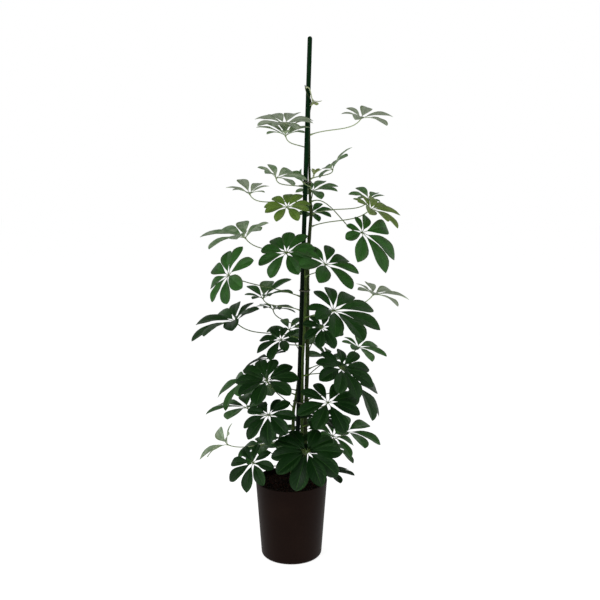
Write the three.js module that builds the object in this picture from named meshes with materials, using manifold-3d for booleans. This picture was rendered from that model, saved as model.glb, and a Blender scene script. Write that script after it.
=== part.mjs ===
// Potted umbrella plant: three stems tied to a garden stake in a round pot of clay granules,
// with palmate leaves on long petioles. Millimetres, +Z up. The origin is the centre of the
// pot's underside and the viewer stands at -Y.

import * as THREE from "three";
import { mergeVertices } from "three/addons/utils/BufferGeometryUtils.js";
import Module from "manifold-3d";

const wasm = await Module();
wasm.setup();

// ---- driving dimensions -------------------------------------------------------------------

const CLEARANCE = 0.3; // between pieces that touch

const POT_SEGMENTS = 32;
const POT_HEIGHT = 196;
const POT_RIM_RADIUS = 90;
const POT_BASE_RADIUS = 76;
const POT_WALL = 3;
const POT_FLOOR = 4;
const POT_FOOT_ROUNDING = 8;
const POT_FOOT_STEPS = 4;
const POT_RIM_CHAMFER = 1; // on the rim's outer edge
const POT_LIP_CHAMFER = 0.7; // on its inner edge

const SOIL_LEVEL = 183;
const SOIL_RINGS = 6;
const SOIL_HUMP = 2.4; // height of the granule relief
const SOIL_MOUND = 4; // the middle stands this much above the edge
const SOIL_HOLE_RISE = 16; // the holes are cut from this much above the level
// The relief is two waves: one along X and Y, and a weaker one across them.
const HUMP_SCALE_X = 5.3;
const HUMP_SCALE_Y = 4.7;
const HUMP_SHIFT = 1.1;
const CROSS_HUMP_SCALE = 7.9;
const CROSS_HUMP_SHARE = 0.6;

const STAKE_RADIUS = 5.5;
const STAKE_SIDES = 16;
const STAKE_BOTTOM = 30;
const STAKE_TOP = 1276;
const STAKE_FOOT_X = 12.6; // at the reference height
const STAKE_REFERENCE_Z = 200;
const STAKE_LEAN = 0.03; // sideways drift per unit of height
const STAKE_DOME_STEPS = 3;
const STAKE_POINT_LENGTH = 14;
const STAKE_POINT_SHARE = 0.35; // radius of the blunt point, against the stake's

const STEM_SIDES = 8;
const PETIOLE_RADIUS = 1.6;
const PETIOLE_STEPS = 4;
const PETIOLE_SIDES = 3;
const PETIOLE_FOOT_FLARE = 1.3; // radius at the foot, against the petiole's
// The petiole's curve: shares of its span for the pull at the foot and at the hub.
const FOOT_PULL_OUT = 0.35;
const FOOT_PULL_UP = 0.14;
const HUB_PULL_DOWN = 0.24;
const HUB_PULL_BACK = 0.1;
const PETIOLE_FOOT_GAP = 0.95; // the slanted foot comes nearer than this

const HUB_RADIUS = 2.6;
const HUB_HALF_THICKNESS = 1.3;
const HUB_EDGE_SHARE = 0.8; // the hub is this much thinner where a leaflet leaves it
const HUB_NOTCH_SHARE = 0.85; // radius between two leaflets, against the hub's
const STALK_END = 0.22; // share of a leaflet's length that is bare stalk
const STALK_HALF_WIDTH = 1.1;
const STALK_HALF_THICKNESS = 1.0;
const BLADE_HALF_THICKNESS = 0.7; // at the midrib
const BLADE_HALF_WIDTH = 0.19; // share of the leaflet's length
const BLADE_FOLD = 10; // degrees that each half of the blade lifts from the midrib
const BLADE_STATIONS = [
  // place between stalk and tip, share of the full width
  [0.42, 0.92],
  [0.8, 0.84],
];
const FAN_GAP = 58; // degrees left open on the petiole's side
const ARCH = 44; // degrees that a leaflet's midrib bends down along its length
const ARCH_START = 14; // degrees above the cup angle at the hub

const TIE_HEIGHT = 3;
const TIE_THICKNESS = 1.4;
const TIE_SLACK = 0.8;
const TIE_ARC_POINTS = 10;
const TIE_FREE_END = 10; // a stem that ends nearer than this above a tie isn't bound by it
const TIE_LEVELS = { tie_upper: 938, tie_middle: 676, tie_lower: 396 };

// Limits for the mesh work.
const MERGE_DISTANCE = 1e-4;
const STRAIGHT_LIMIT = 1e-6; // a corner that turns less than this is left out
const NEARLY_PARALLEL = 0.9; // cosine from which another axis is taken as the tube's side

// ---- plant tables --------------------------------------------------------------------------

// Each stem runs through points [x, y, z, radius] from its root end up.
const STEMS = {
  stem_leader: [
    [34, 10, 110, 5.2],
    [35, 10, 346, 5.2],
    [37, 10, 398, 5.0],
    [40, 10, 500, 5.0],
    [40, 10, 713, 4.6],
    [42, 10, 774, 4.4],
    [46, 10, 828, 4.2],
    [49, 10, 866, 4.0],
    [46, 10, 895, 3.6],
    [44, 10, 979, 2.6],
    [44, 9, 1106, 2.0],
    [48.8, 3, 1121, 1.8],
    [48.8, -3.4, 1128, 1.7],
    [45, -7.6, 1135, 1.5],
    [36, -8.8, 1145, 1.3],
    [33.4, -8, 1163, 1.1],
  ],
  stem_front: [
    [25, -10, 120, 3.8],
    [26.5, -10, 339, 3.8],
    [28, -10, 505, 3.6],
    [32.5, -10.5, 580, 3.5],
    [35.5, -11, 679, 3.3],
    [34, -11, 728, 2.4],
  ],
  stem_left: [
    [-1.5, 6, 112, 4.2],
    [4.5, 4.5, 330, 4.2],
    [5, 6, 373, 4.1],
    [13, 9.5, 410, 4.0],
    [17, 10.5, 440, 3.9],
    [22.5, 10.5, 500, 3.8],
    [29, 10.5, 798, 3.0],
    [30, 10.8, 872, 1.8],
  ],
};

// name, stem, height of the petiole's foot, turn of the foot round the stem (degrees),
// hub x, y, z, reach, leaflets, lean of the leaf's face (degrees), bearing of that lean
// (0 to the viewer, 90 to +X), spin of the fan from there, cup, and length of the leaflets opposite
// the fan's middle as a share of the length at its middle
const LEAVES = [
  ["young_leaf_top", "stem_leader", 1158, 0, 51.5, -8, 1129, 23, 5, 148, 75, 0, 44, 0.7],
  ["young_leaf_side", "stem_leader", 943, 0, 54, -15, 953, 27, 5, 15, 55, 0, 58, 0.7],
  ["leaf_01", "stem_leader", 1050, 0, 167, 10, 1088, 84, 6, 22, 30, 45, 18, 0.6],
  ["leaf_02", "stem_leader", 1080, -50, -13.5, -46, 1071, 88, 8, 18, 0, 184, 10, 0.66],
  ["leaf_03", "stem_leader", 1018, -50, -12, -44, 1045, 80, 8, 10, 10, 198, 22, 0.66],
  ["leaf_04", "stem_leader", 946, 0, 101, 40, 968, 74, 7, 36, -85, 180, 18, 0.6],
  ["leaf_05", "stem_leader", 922, -60, -34, -48, 948, 76, 6, 26, 50, 12, 22, 0.66],
  ["leaf_06", "stem_leader", 923, 50, 30, -19, 937, 46, 5, 38, -90, 8, 70, 0.75],
  ["leaf_07", "stem_leader", 890, 0, 53, 72, 915, 70, 8, 18, 5, 80, 12, 0.66],
  ["leaf_08", "stem_leader", 884, -25, -98, -20, 910, 66, 7, 12, 0, 207, 22, 0.66],
  ["leaf_09", "stem_leader", 862, 0, 192, 52, 895, 60, 7, 18, 15, 194, 16, 0.48],
  ["leaf_10", "stem_left", 862, 0, -8, -50, 880, 60, 9, 30, -10, 188, 6, 0.95],
  ["leaf_11", "stem_leader", 832, 0, 187, -46, 875, 82, 9, 34, 60, 8, 15, 0.6],
  ["leaf_12", "stem_leader", 842, 0, 50, 55, 861, 57, 8, 24, 10, 76, 14, 0.66],
  ["leaf_13", "stem_leader", 892, 0, 166, -82, 823, 116, 8, 56, 40, 30, 6, 0.34],
  ["leaf_14", "stem_left", 760, 0, -109, -25, 806, 114, 8, 20, -55, -15, 22, 0.6],
  ["leaf_15", "stem_left", 738, -45, -10, -97, 777, 69, 9, 46, -20, 187, 4, 1.06],
  ["leaf_16", "stem_front", 712, 0, 80, -115, 752, 70, 8, 38, 40, 163, 10, 1.3],
  ["leaf_17", "stem_left", 660, -20, -144, -95, 725, 74, 8, 60, -50, -80, 6, 1.05],
  ["leaf_18", "stem_leader", 610, 0, 202, 20, 662, 94, 7, 22, 68, 24, 18, 0.55],
  ["leaf_19", "stem_left", 625, 0, -71, 45, 649, 94, 7, 8, -20, 140, 26, 0.48],
  ["leaf_20", "stem_front", 612, 0, 98, -125, 647, 120, 9, 35, 38, 43, 10, 0.54],
  ["leaf_21", "stem_left", 582, 0, -47, 75, 617, 66, 7, 8, 120, 0, 12, 0.66],
  ["leaf_22", "stem_left", 556, -15, -131, -70, 611, 116, 9, 27, -72, -4, 18, 0.6],
  ["leaf_23", "stem_front", 574, 0, 74, -42, 592, 63, 8, 48, 20, 0, 6, 0.66],
  ["leaf_24", "stem_leader", 518, 0, 60, 95, 545, 80, 6, 45, 160, 0, 12, 0.66],
  ["leaf_25", "stem_front", 540, 0, -23, -90, 571, 68, 8, 34, -30, -20, 10, 0.6],
  ["leaf_26", "stem_leader", 478, 0, 168, 54, 523, 78, 7, 24, 60, 20, 12, 0.6],
  ["leaf_27", "stem_left", 520, 0, -6, 100, 560, 78, 6, 45, -160, 0, 12, 0.66],
  ["leaf_28", "stem_front", 466, 0, 120, -80, 501, 92, 9, 44, 35, 2, 8, 0.66],
  ["leaf_29", "stem_left", 424, 0, -59, -70, 468, 68, 9, 32, -10, 205, 12, 1.3],
  ["leaf_30", "stem_left", 412, 0, -109, 30, 450, 106, 8, 38, -78, 0, 3, 0.66],
  ["leaf_31", "stem_leader", 459, 0, 90, 90, 487, 84, 6, 48, 140, 0, 12, 0.66],
  ["leaf_32", "stem_leader", 400, 0, 155, -10, 444, 112, 8, 54, 70, -6, 8, 0.66],
  ["leaf_33", "stem_front", 386, 0, 87, -118, 427, 92, 8, 38, 15, -10, 8, 0.66],
  ["leaf_34", "stem_left", 380, 0, -60, 95, 420, 84, 6, 48, -145, 0, 12, 0.66],
  ["leaf_35", "stem_left", 352, 0, -53, -100, 392, 84, 9, 42, -30, 22, 4, 0.6],
  ["leaf_36", "stem_left", 352, 0, -110, 6, 378, 108, 7, 14, -75, 0, 16, 0.5],
  ["leaf_37", "stem_leader", 284, 0, 135, -15, 323, 74, 7, 24, 75, 162, 16, 1.3],
  ["leaf_38", "stem_leader", 268, 0, 34, 72, 300, 74, 6, 60, 175, 0, 12, 0.66],
  ["leaf_39", "stem_front", 270, 0, 37, -125, 310, 102, 10, 42, 5, 0, 4, 0.66],
  ["leaf_40", "stem_leader", 260, 0, 106, 48, 292, 74, 7, 40, 60, -5, 8, 0.66],
  ["leaf_41", "stem_left", 284, 0, -159, -20, 292, 90, 5, 55, -90, -15, 30, 0.6],
  ["leaf_42", "stem_left", 236, 0, -75, 38, 270, 72, 8, 28, -60, 0, 8, 0.66],
  ["leaf_43", "stem_left", 226, 0, -91, -90, 270, 76, 8, 50, -30, -18, 4, 0.66],
  ["leaf_44", "stem_left", 222, 0, -40, 106, 258, 78, 6, 50, -160, 0, 10, 0.66],
  ["leaf_45", "stem_leader", 218, 0, 104, 90, 250, 78, 6, 50, 130, 0, 10, 0.66],
  ["leaf_46", "stem_front", 206, 0, 93, -50, 230, 66, 7, 6, 75, 0, 8, 0.66],
  ["leaf_47", "stem_front", 338, 0, 74, -42, 366, 72, 7, 12, 30, 0, 10, 0.66],
  ["leaf_48", "stem_left", 300, 0, 10, -60, 306, 66, 7, 26, -15, 22, 10, 0.66],
  ["leaf_49", "stem_left", 452, 0, -52, 29, 501, 74, 7, 26, -88, 0, 12, 0.66],
];

// ---- materials -----------------------------------------------------------------------------

const finish = (color, roughness, metalness = 0) =>
  new THREE.MeshStandardMaterial({ color, roughness, metalness });
const POT_PLASTIC = finish(0x2b2320, 0.55);
const GRANULES = finish(0x3a201a, 0.95);
const STAKE_COATING = finish(0x0c2a17, 0.5);
const BARK = finish(0x4a4a2c, 0.8);
const LEAF_GREEN = finish(0x1f4a22, 0.45);
const TIE_CORD = finish(0x8b8a78, 0.9);

// ---- helpers -------------------------------------------------------------------------------

const part = new THREE.Group();
part.name = "potted_umbrella_plant";
const radians = THREE.MathUtils.degToRad;

/** Adds a named piece to the part. */
function addPiece(name, geometry, material) {
  const mesh = new THREE.Mesh(geometry, material);
  mesh.name = name;
  part.add(mesh);
}

/** A closed three.js geometry as a manifold solid. */
function toSolid(geometry) {
  const bare = geometry.clone();
  bare.deleteAttribute("normal");
  bare.deleteAttribute("uv");
  const merged = mergeVertices(bare, MERGE_DISTANCE);
  return new wasm.Manifold(
    new wasm.Mesh({
      numProp: 3,
      vertProperties: new Float32Array(merged.attributes.position.array),
      triVerts: new Uint32Array(merged.index.array),
    }),
  );
}

/** A manifold solid as a three.js geometry. */
function toGeometry(solid) {
  const mesh = solid.getMesh();
  return new THREE.BufferGeometry()
    .setAttribute("position", new THREE.BufferAttribute(mesh.vertProperties, 3))
    .setIndex(new THREE.BufferAttribute(mesh.triVerts, 1));
}

/** A geometry from shared points (Vector3) and triangles of their indices. */
function facets(points, triangles) {
  return new THREE.BufferGeometry()
    .setFromPoints(points)
    .setIndex(triangles.flat());
}

/** A closed tube through centres with a radius at each, and flat ends. */
function taperedTube(centres, radii, sides) {
  const points = [];
  const triangles = [];
  const last = centres.length - 1;
  const across = new THREE.Vector3();
  centres.forEach((centre, i) => {
    const along = centres[Math.min(i + 1, last)]
      .clone()
      .sub(centres[Math.max(i - 1, 0)])
      .normalize();
    if (i === 0) {
      across.set(1, 0, 0);
      if (Math.abs(along.x) > NEARLY_PARALLEL) across.set(0, 1, 0);
    }
    across.addScaledVector(along, -across.dot(along)).normalize();
    const other = along.clone().cross(across);
    for (let k = 0; k < sides; k++) {
      const angle = (2 * Math.PI * k) / sides;
      points.push(
        centre
          .clone()
          .addScaledVector(across, radii[i] * Math.cos(angle))
          .addScaledVector(other, radii[i] * Math.sin(angle)),
      );
    }
  });
  for (let i = 0; i < last; i++)
    for (let k = 0; k < sides; k++) {
      const a = i * sides + k;
      const b = i * sides + ((k + 1) % sides);
      triangles.push([a, b, b + sides], [a, b + sides, a + sides]);
    }
  for (let k = 1; k < sides - 1; k++) {
    triangles.push([0, k + 1, k]);
    triangles.push([last * sides, last * sides + k, last * sides + k + 1]);
  }
  return facets(points, triangles);
}

/** The middle of the stake at a height. */
const stakeX = (z) => STAKE_FOOT_X + STAKE_LEAN * (z - STAKE_REFERENCE_Z);

/** The centre and radius of a stem at a height. */
function stemAt(name, z) {
  const path = STEMS[name];
  let i = 0;
  while (i < path.length - 2 && path[i + 1][2] < z) i++;
  const [a, b] = [path[i], path[i + 1]];
  const t = (z - a[2]) / (b[2] - a[2]);
  const mix = a.map((v, k) => v + (b[k] - v) * t);
  return { centre: new THREE.Vector3(mix[0], mix[1], mix[2]), radius: mix[3] };
}

// ---- pot and granules ----------------------------------------------------------------------

/** Radius of the pot's outside at a height, measured along its straight wall. */
const potRadius = (z) =>
  POT_BASE_RADIUS + ((POT_RIM_RADIUS - POT_BASE_RADIUS) * z) / POT_HEIGHT;

/** The pot, turned: up its outside, over the rim, and down to its floor. */
function potGeometry() {
  const profile = [[0, 0]];
  for (let i = 0; i <= POT_FOOT_STEPS; i++) {
    const angle = ((i / POT_FOOT_STEPS) * Math.PI) / 2;
    profile.push([
      potRadius(POT_FOOT_ROUNDING) - POT_FOOT_ROUNDING * (1 - Math.sin(angle)),
      POT_FOOT_ROUNDING * (1 - Math.cos(angle)),
    ]);
  }
  profile.push(
    [POT_RIM_RADIUS, POT_HEIGHT - POT_RIM_CHAMFER],
    [POT_RIM_RADIUS - POT_RIM_CHAMFER, POT_HEIGHT],
    [POT_RIM_RADIUS - POT_WALL + POT_LIP_CHAMFER, POT_HEIGHT],
    [POT_RIM_RADIUS - POT_WALL, POT_HEIGHT - POT_LIP_CHAMFER],
    [potRadius(POT_FLOOR) - POT_WALL, POT_FLOOR],
    [0, POT_FLOOR],
  );
  const turned = new THREE.LatheGeometry(
    profile.map(([r, z]) => new THREE.Vector2(r, z)),
    POT_SEGMENTS,
  );
  return toGeometry(toSolid(turned.rotateX(Math.PI / 2)));
}

/** Height of the granules' surface at a ring and bearing. */
function soilHeight(radius, angle) {
  const x = radius * Math.cos(angle);
  const y = radius * Math.sin(angle);
  const wave = Math.sin(x / HUMP_SCALE_X + HUMP_SHIFT) * Math.cos(y / HUMP_SCALE_Y);
  const humps = wave + CROSS_HUMP_SHARE * Math.sin((x - y) / CROSS_HUMP_SCALE);
  const edge = potRadius(SOIL_LEVEL) - POT_WALL;
  return SOIL_LEVEL + (SOIL_HUMP / 2) * humps + SOIL_MOUND * (1 - (radius / edge) ** 2);
}

/** The granules: rings of relief on top, a plain side and underside, and holes for the stems. */
function soilGeometry() {
  const bottomRadius = potRadius(POT_FLOOR) - POT_WALL - 2 * CLEARANCE;
  const topRadius = potRadius(SOIL_LEVEL - SOIL_HUMP) - POT_WALL - 2 * CLEARANCE;
  const points = [new THREE.Vector3(0, 0, soilHeight(0, 0))];
  const triangles = [];
  const at = (ring, k) => 1 + (ring - 1) * POT_SEGMENTS + (k % POT_SEGMENTS);
  for (let ring = 1; ring <= SOIL_RINGS; ring++)
    for (let k = 0; k < POT_SEGMENTS; k++) {
      const angle = (2 * Math.PI * k) / POT_SEGMENTS;
      const radius = (topRadius * ring) / SOIL_RINGS;
      points.push(
        new THREE.Vector3(
          radius * Math.cos(angle),
          radius * Math.sin(angle),
          ring === SOIL_RINGS ? SOIL_LEVEL - SOIL_HUMP : soilHeight(radius, angle),
        ),
      );
    }
  const foot = points.length;
  for (let k = 0; k < POT_SEGMENTS; k++) {
    const angle = (2 * Math.PI * k) / POT_SEGMENTS;
    points.push(
      new THREE.Vector3(
        bottomRadius * Math.cos(angle),
        bottomRadius * Math.sin(angle),
        POT_FLOOR + CLEARANCE,
      ),
    );
  }
  const middle = points.length;
  points.push(new THREE.Vector3(0, 0, POT_FLOOR + CLEARANCE));
  for (let k = 0; k < POT_SEGMENTS; k++) {
    const next = (k + 1) % POT_SEGMENTS;
    triangles.push([0, at(1, k), at(1, k + 1)]);
    for (let ring = 1; ring < SOIL_RINGS; ring++)
      triangles.push(
        [at(ring, k), at(ring + 1, k), at(ring + 1, k + 1)],
        [at(ring, k), at(ring + 1, k + 1), at(ring, k + 1)],
      );
    triangles.push(
      [at(SOIL_RINGS, k), foot + k, foot + next],
      [at(SOIL_RINGS, k), foot + next, at(SOIL_RINGS, k + 1)],
      [middle, foot + next, foot + k],
    );
  }
  let soil = toSolid(facets(points, triangles));
  const above = SOIL_LEVEL + SOIL_HOLE_RISE;
  const holes = Object.keys(STEMS).map((name) => {
    const foot = stemAt(name, STEMS[name][0][2]);
    const top = stemAt(name, above);
    const bottom = foot.centre.clone().setZ(foot.centre.z - CLEARANCE);
    const radius = foot.radius + 2 * CLEARANCE;
    return taperedTube([bottom, top.centre], [radius, radius], STEM_SIDES);
  });
  holes.push(
    taperedTube(
      [
        new THREE.Vector3(stakeX(STAKE_BOTTOM), 0, STAKE_BOTTOM - CLEARANCE),
        new THREE.Vector3(stakeX(above), 0, above),
      ],
      [STAKE_RADIUS + 2 * CLEARANCE, STAKE_RADIUS + 2 * CLEARANCE],
      STAKE_SIDES,
    ),
  );
  for (const hole of holes) soil = soil.subtract(toSolid(hole));
  return toGeometry(soil);
}

// ---- stake, stems and ties -----------------------------------------------------------------

/** A quarter circle from the side to the axis, above a level. */
function domeProfile(radius, level) {
  return [...Array(STAKE_DOME_STEPS + 1).keys()].map((i) => {
    const angle = ((i / STAKE_DOME_STEPS) * Math.PI) / 2;
    return [i < STAKE_DOME_STEPS ? radius * Math.cos(angle) : 0, level + radius * Math.sin(angle)];
  });
}

/** The stake, turned about its own axis and then leant. */
function stakeGeometry() {
  const length = STAKE_TOP - STAKE_BOTTOM;
  const profile = [
    [0, 0],
    [STAKE_RADIUS * STAKE_POINT_SHARE, 0],
    [STAKE_RADIUS, STAKE_POINT_LENGTH],
    ...domeProfile(STAKE_RADIUS, length - STAKE_RADIUS),
  ].map(([r, z]) => new THREE.Vector2(r, z));
  const turned = new THREE.LatheGeometry(profile, STAKE_SIDES)
    .rotateX(Math.PI / 2)
    .rotateY(Math.atan(STAKE_LEAN))
    .translate(stakeX(STAKE_BOTTOM), 0, STAKE_BOTTOM);
  return toGeometry(toSolid(turned));
}

/** A stem through its points. */
function stemGeometry(name) {
  const path = STEMS[name];
  return taperedTube(
    path.map(([x, y, z]) => new THREE.Vector3(x, y, z)),
    path.map((point) => point[3]),
    STEM_SIDES,
  );
}

/** The outline round some circles, as a tight string would lie, in counter-clockwise order. */
function stringRound(circles, offset) {
  const cloud = [];
  for (const [x, y, radius] of circles)
    for (let k = 0; k < TIE_ARC_POINTS; k++) {
      const angle = (2 * Math.PI * (k + 0.5)) / TIE_ARC_POINTS;
      const reach = (radius + offset) / Math.cos(Math.PI / TIE_ARC_POINTS);
      cloud.push(new THREE.Vector2(x + reach * Math.cos(angle), y + reach * Math.sin(angle)));
    }
  cloud.sort((a, b) => a.x - b.x || a.y - b.y);
  const half = (sorted) => {
    const chain = [];
    for (const p of sorted) {
      while (chain.length > 1) {
        const [a, b] = chain.slice(-2);
        if ((b.x - a.x) * (p.y - a.y) - (b.y - a.y) * (p.x - a.x) > STRAIGHT_LIMIT) break;
        chain.pop();
      }
      chain.push(p);
    }
    return chain.slice(0, -1);
  };
  return [...half(cloud), ...half([...cloud].reverse())];
}

/** A band round the stake and every stem that reaches its level. */
function tieGeometry(level) {
  const circles = [[stakeX(level), 0, STAKE_RADIUS]];
  for (const name of Object.keys(STEMS)) {
    if (STEMS[name].at(-1)[2] < level + TIE_FREE_END) continue;
    const { centre, radius } = stemAt(name, level);
    circles.push([centre.x, centre.y, radius]);
  }
  const outline = new THREE.Shape(stringRound(circles, TIE_SLACK + TIE_THICKNESS));
  outline.holes.push(new THREE.Path(stringRound(circles, TIE_SLACK)));
  const band = new THREE.ExtrudeGeometry(outline, { depth: TIE_HEIGHT, bevelEnabled: false });
  return toGeometry(toSolid(band.translate(0, 0, level - TIE_HEIGHT / 2)));
}

// ---- leaves --------------------------------------------------------------------------------

/** The leaf's face normal, its heading in the face, and the third axis. */
function leafFrame(lean, bearing) {
  const [a, b] = [radians(lean), radians(bearing)];
  const normal = new THREE.Vector3(
    Math.sin(a) * Math.sin(b),
    -Math.sin(a) * Math.cos(b),
    Math.cos(a),
  );
  const heading = new THREE.Vector3(Math.sin(b), -Math.cos(b), 0);
  heading.addScaledVector(normal, -heading.dot(normal)).normalize();
  return { normal, heading, third: normal.clone().cross(heading) };
}

/** Leaflets fused at the hub: each has a four-cornered section that grows from a bare stalk. */
function fanGeometry(hub, reach, count, lean, bearing, spin, cup, low) {
  const { normal, heading, third } = leafFrame(lean, bearing);
  const points = [];
  const triangles = [];
  const put = (p) => points.push(p) - 1;
  const place = (radial, out, up) =>
    hub.clone().addScaledVector(radial, out).addScaledVector(normal, up);
  const ray = (angle) =>
    heading.clone().multiplyScalar(Math.cos(angle)).addScaledVector(third, Math.sin(angle));
  const step = radians((360 - FAN_GAP) / (count - 1));
  const angles = [...Array(count).keys()].map(
    (i) => radians(spin) + (i - (count - 1) / 2) * step,
  );
  const top = put(place(heading, 0, HUB_HALF_THICKNESS));
  const bottom = put(place(heading, 0, -HUB_HALF_THICKNESS));
  const between = angles.map((angle, i) => {
    const middle = i < count - 1 ? angle + step / 2 : radians(spin) + Math.PI;
    return put(place(ray(middle), HUB_RADIUS * HUB_NOTCH_SHARE, 0));
  });
  angles.forEach((angle, i) => {
    const radial = ray(angle);
    const side = normal.clone().cross(radial);
    const length = reach * (low + (1 - low) * Math.cos((angle - radians(spin)) / 2) ** 2);
    const start = radians(cup + ARCH_START);
    const bend = radians(ARCH);
    const midrib = (t) => {
      const slope = start - bend * t;
      const out = (Math.sin(start) - Math.sin(slope)) / bend;
      const up = (Math.cos(slope) - Math.cos(start)) / bend;
      return place(radial, length * out, length * up);
    };
    const liftAt = (t) => {
      const slope = start - bend * t;
      return radial
        .clone()
        .multiplyScalar(-Math.sin(slope))
        .addScaledVector(normal, Math.cos(slope));
    };
    const section = (t, halfWidth, fold, halfThickness) => {
      const centre = midrib(t);
      const lift = liftAt(t);
      const corner = (out, up) =>
        put(centre.clone().addScaledVector(side, out).addScaledVector(lift, up));
      const raised = halfWidth * Math.sin(radians(fold));
      const flat = halfWidth * Math.cos(radians(fold));
      return [
        corner(-flat, raised),
        corner(0, halfThickness),
        corner(flat, raised),
        corner(0, -halfThickness),
      ];
    };
    const before = between[(i + count - 1) % count];
    const after = between[i];
    const rootTop = put(place(radial, HUB_RADIUS, HUB_HALF_THICKNESS * HUB_EDGE_SHARE));
    const rootBottom = put(place(radial, HUB_RADIUS, -HUB_HALF_THICKNESS * HUB_EDGE_SHARE));
    triangles.push([top, before, rootTop], [top, rootTop, after]);
    triangles.push([bottom, rootBottom, before], [bottom, after, rootBottom]);
    const rings = [
      [before, rootTop, after, rootBottom],
      section(STALK_END, STALK_HALF_WIDTH, 0, STALK_HALF_THICKNESS),
    ];
    for (const [along, share] of BLADE_STATIONS)
      rings.push(
        section(
          STALK_END + (1 - STALK_END) * along,
          BLADE_HALF_WIDTH * length * share,
          BLADE_FOLD,
          BLADE_HALF_THICKNESS,
        ),
      );
    for (let j = 0; j < rings.length - 1; j++)
      for (let k = 0; k < 4; k++) {
        const [p, q] = [rings[j][k], rings[j][(k + 1) % 4]];
        const [pNext, qNext] = [rings[j + 1][k], rings[j + 1][(k + 1) % 4]];
        // Diagonals run from the blade's edge to its midrib on the upper and the lower face.
        if (k % 2 === 0) triangles.push([p, pNext, q], [pNext, qNext, q]);
        else triangles.push([p, pNext, qNext], [p, qNext, q]);
      }
    const tip = put(midrib(1));
    const end = rings.at(-1);
    for (let k = 0; k < 4; k++) triangles.push([end[k], tip, end[(k + 1) % 4]]);
  });
  return facets(points, triangles);
}

/** The petiole from the stem's surface to the hub, arriving square to the leaf's face. */
function petioleGeometry(stem, footHeight, turn, hub, lean, bearing) {
  const { centre, radius } = stemAt(stem, footHeight);
  const { normal } = leafFrame(lean, bearing);
  const azimuth = Math.atan2(hub.y - centre.y, hub.x - centre.x) + radians(turn);
  const outward = new THREE.Vector3(Math.cos(azimuth), Math.sin(azimuth), 0);
  const foot = centre.clone().addScaledVector(outward, radius + PETIOLE_FOOT_GAP);
  const span = foot.distanceTo(hub);
  const onward = hub.clone().sub(foot).normalize();
  const path = new THREE.CubicBezierCurve3(
    foot,
    foot.clone().addScaledVector(outward, FOOT_PULL_OUT * span).setZ(foot.z + FOOT_PULL_UP * span),
    hub
      .clone()
      .addScaledVector(normal, -HUB_PULL_DOWN * span)
      .addScaledVector(onward, -HUB_PULL_BACK * span),
    hub,
  );
  const centres = path.getPoints(PETIOLE_STEPS);
  const radii = centres.map((_, i) => PETIOLE_RADIUS * (i === 0 ? PETIOLE_FOOT_FLARE : 1));
  return taperedTube(centres, radii, PETIOLE_SIDES);
}

/** One leaf as it grew: its petiole and its fan of leaflets, joined at the hub. */
function leafGeometry(row) {
  const [, stem, footHeight, turn, x, y, z, reach, count, lean, bearing, spin, cup, low] = row;
  const hub = new THREE.Vector3(x, y, z);
  const fan = toSolid(fanGeometry(hub, reach, count, lean, bearing, spin, cup, low));
  const petiole = toSolid(petioleGeometry(stem, footHeight, turn, hub, lean, bearing));
  return toGeometry(fan.add(petiole));
}

// ---- assembly ------------------------------------------------------------------------------

addPiece("pot", potGeometry(), POT_PLASTIC);
addPiece("clay_granules", soilGeometry(), GRANULES);
addPiece("stake", stakeGeometry(), STAKE_COATING);
for (const name of Object.keys(STEMS)) addPiece(name, stemGeometry(name), BARK);
for (const [name, level] of Object.entries(TIE_LEVELS))
  addPiece(name, tieGeometry(level), TIE_CORD);
for (const row of LEAVES) addPiece(row[0], leafGeometry(row), LEAF_GREEN);

export default part;
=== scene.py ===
"""Looks of the potted umbrella plant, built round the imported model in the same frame.

The scene is in metres, +Z up, with the viewer at -Y. The plant's own sizes are given in
millimetres, as on a drawing, and become metres when a mesh is made.
"""

import logging
import math
from dataclasses import dataclass, field
from enum import Enum
from functools import cache
from typing import Any

import bpy
import numpy as np
from mathutils import Matrix, Vector


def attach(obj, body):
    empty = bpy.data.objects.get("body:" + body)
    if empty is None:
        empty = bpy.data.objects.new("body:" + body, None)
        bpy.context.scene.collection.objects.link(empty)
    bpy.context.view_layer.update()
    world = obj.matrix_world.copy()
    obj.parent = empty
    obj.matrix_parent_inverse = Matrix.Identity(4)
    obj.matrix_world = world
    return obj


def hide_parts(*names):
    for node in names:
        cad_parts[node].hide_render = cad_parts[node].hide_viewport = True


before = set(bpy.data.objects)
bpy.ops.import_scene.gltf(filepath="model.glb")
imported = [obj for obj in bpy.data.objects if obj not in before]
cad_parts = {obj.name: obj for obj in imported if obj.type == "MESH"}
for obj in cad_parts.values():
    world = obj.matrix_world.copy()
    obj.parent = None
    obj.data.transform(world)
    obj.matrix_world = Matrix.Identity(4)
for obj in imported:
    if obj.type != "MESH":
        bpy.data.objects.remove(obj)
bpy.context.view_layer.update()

log = logging.getLogger("umbrella_plant")

MM = 0.001
BODY = "root"
PATTERN_MAP = "pattern"
TONE = "tone"
SHARP_ANGLE = math.radians(58)
GOLDEN_TURN = math.radians(137.5)

Colour = tuple[float, float, float]
Pair = tuple[float, float]
Socket = bpy.types.NodeSocket
Object = bpy.types.Object
BLACK = (0, 0, 0)

# The curve that turns a screen's colour into a linear one.
SCREEN_TOP = 255
SCREEN_TOE = 0.04045
SCREEN_TOE_SLOPE = 12.92
SCREEN_SHIFT = 0.055
SCREEN_STRETCH = 1.055
SCREEN_POWER = 2.4

# The numbers of a mix node's two colour inputs.
MIX_FIRST = 6
MIX_SECOND = 7

# Where more than this of a tube's first heading is along X, its rings are set out from Y.
NEAR_AXIS = 0.9


# ---- sizes shared with the solids ----------------------------------------------------------

POT_HEIGHT = 196.0
POT_RIM_RADIUS = 90.0
POT_BASE_RADIUS = 76.0
POT_WALL = 3.0
POT_FLOOR = 4.0
POT_FOOT_ROUNDING = 8.0

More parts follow.
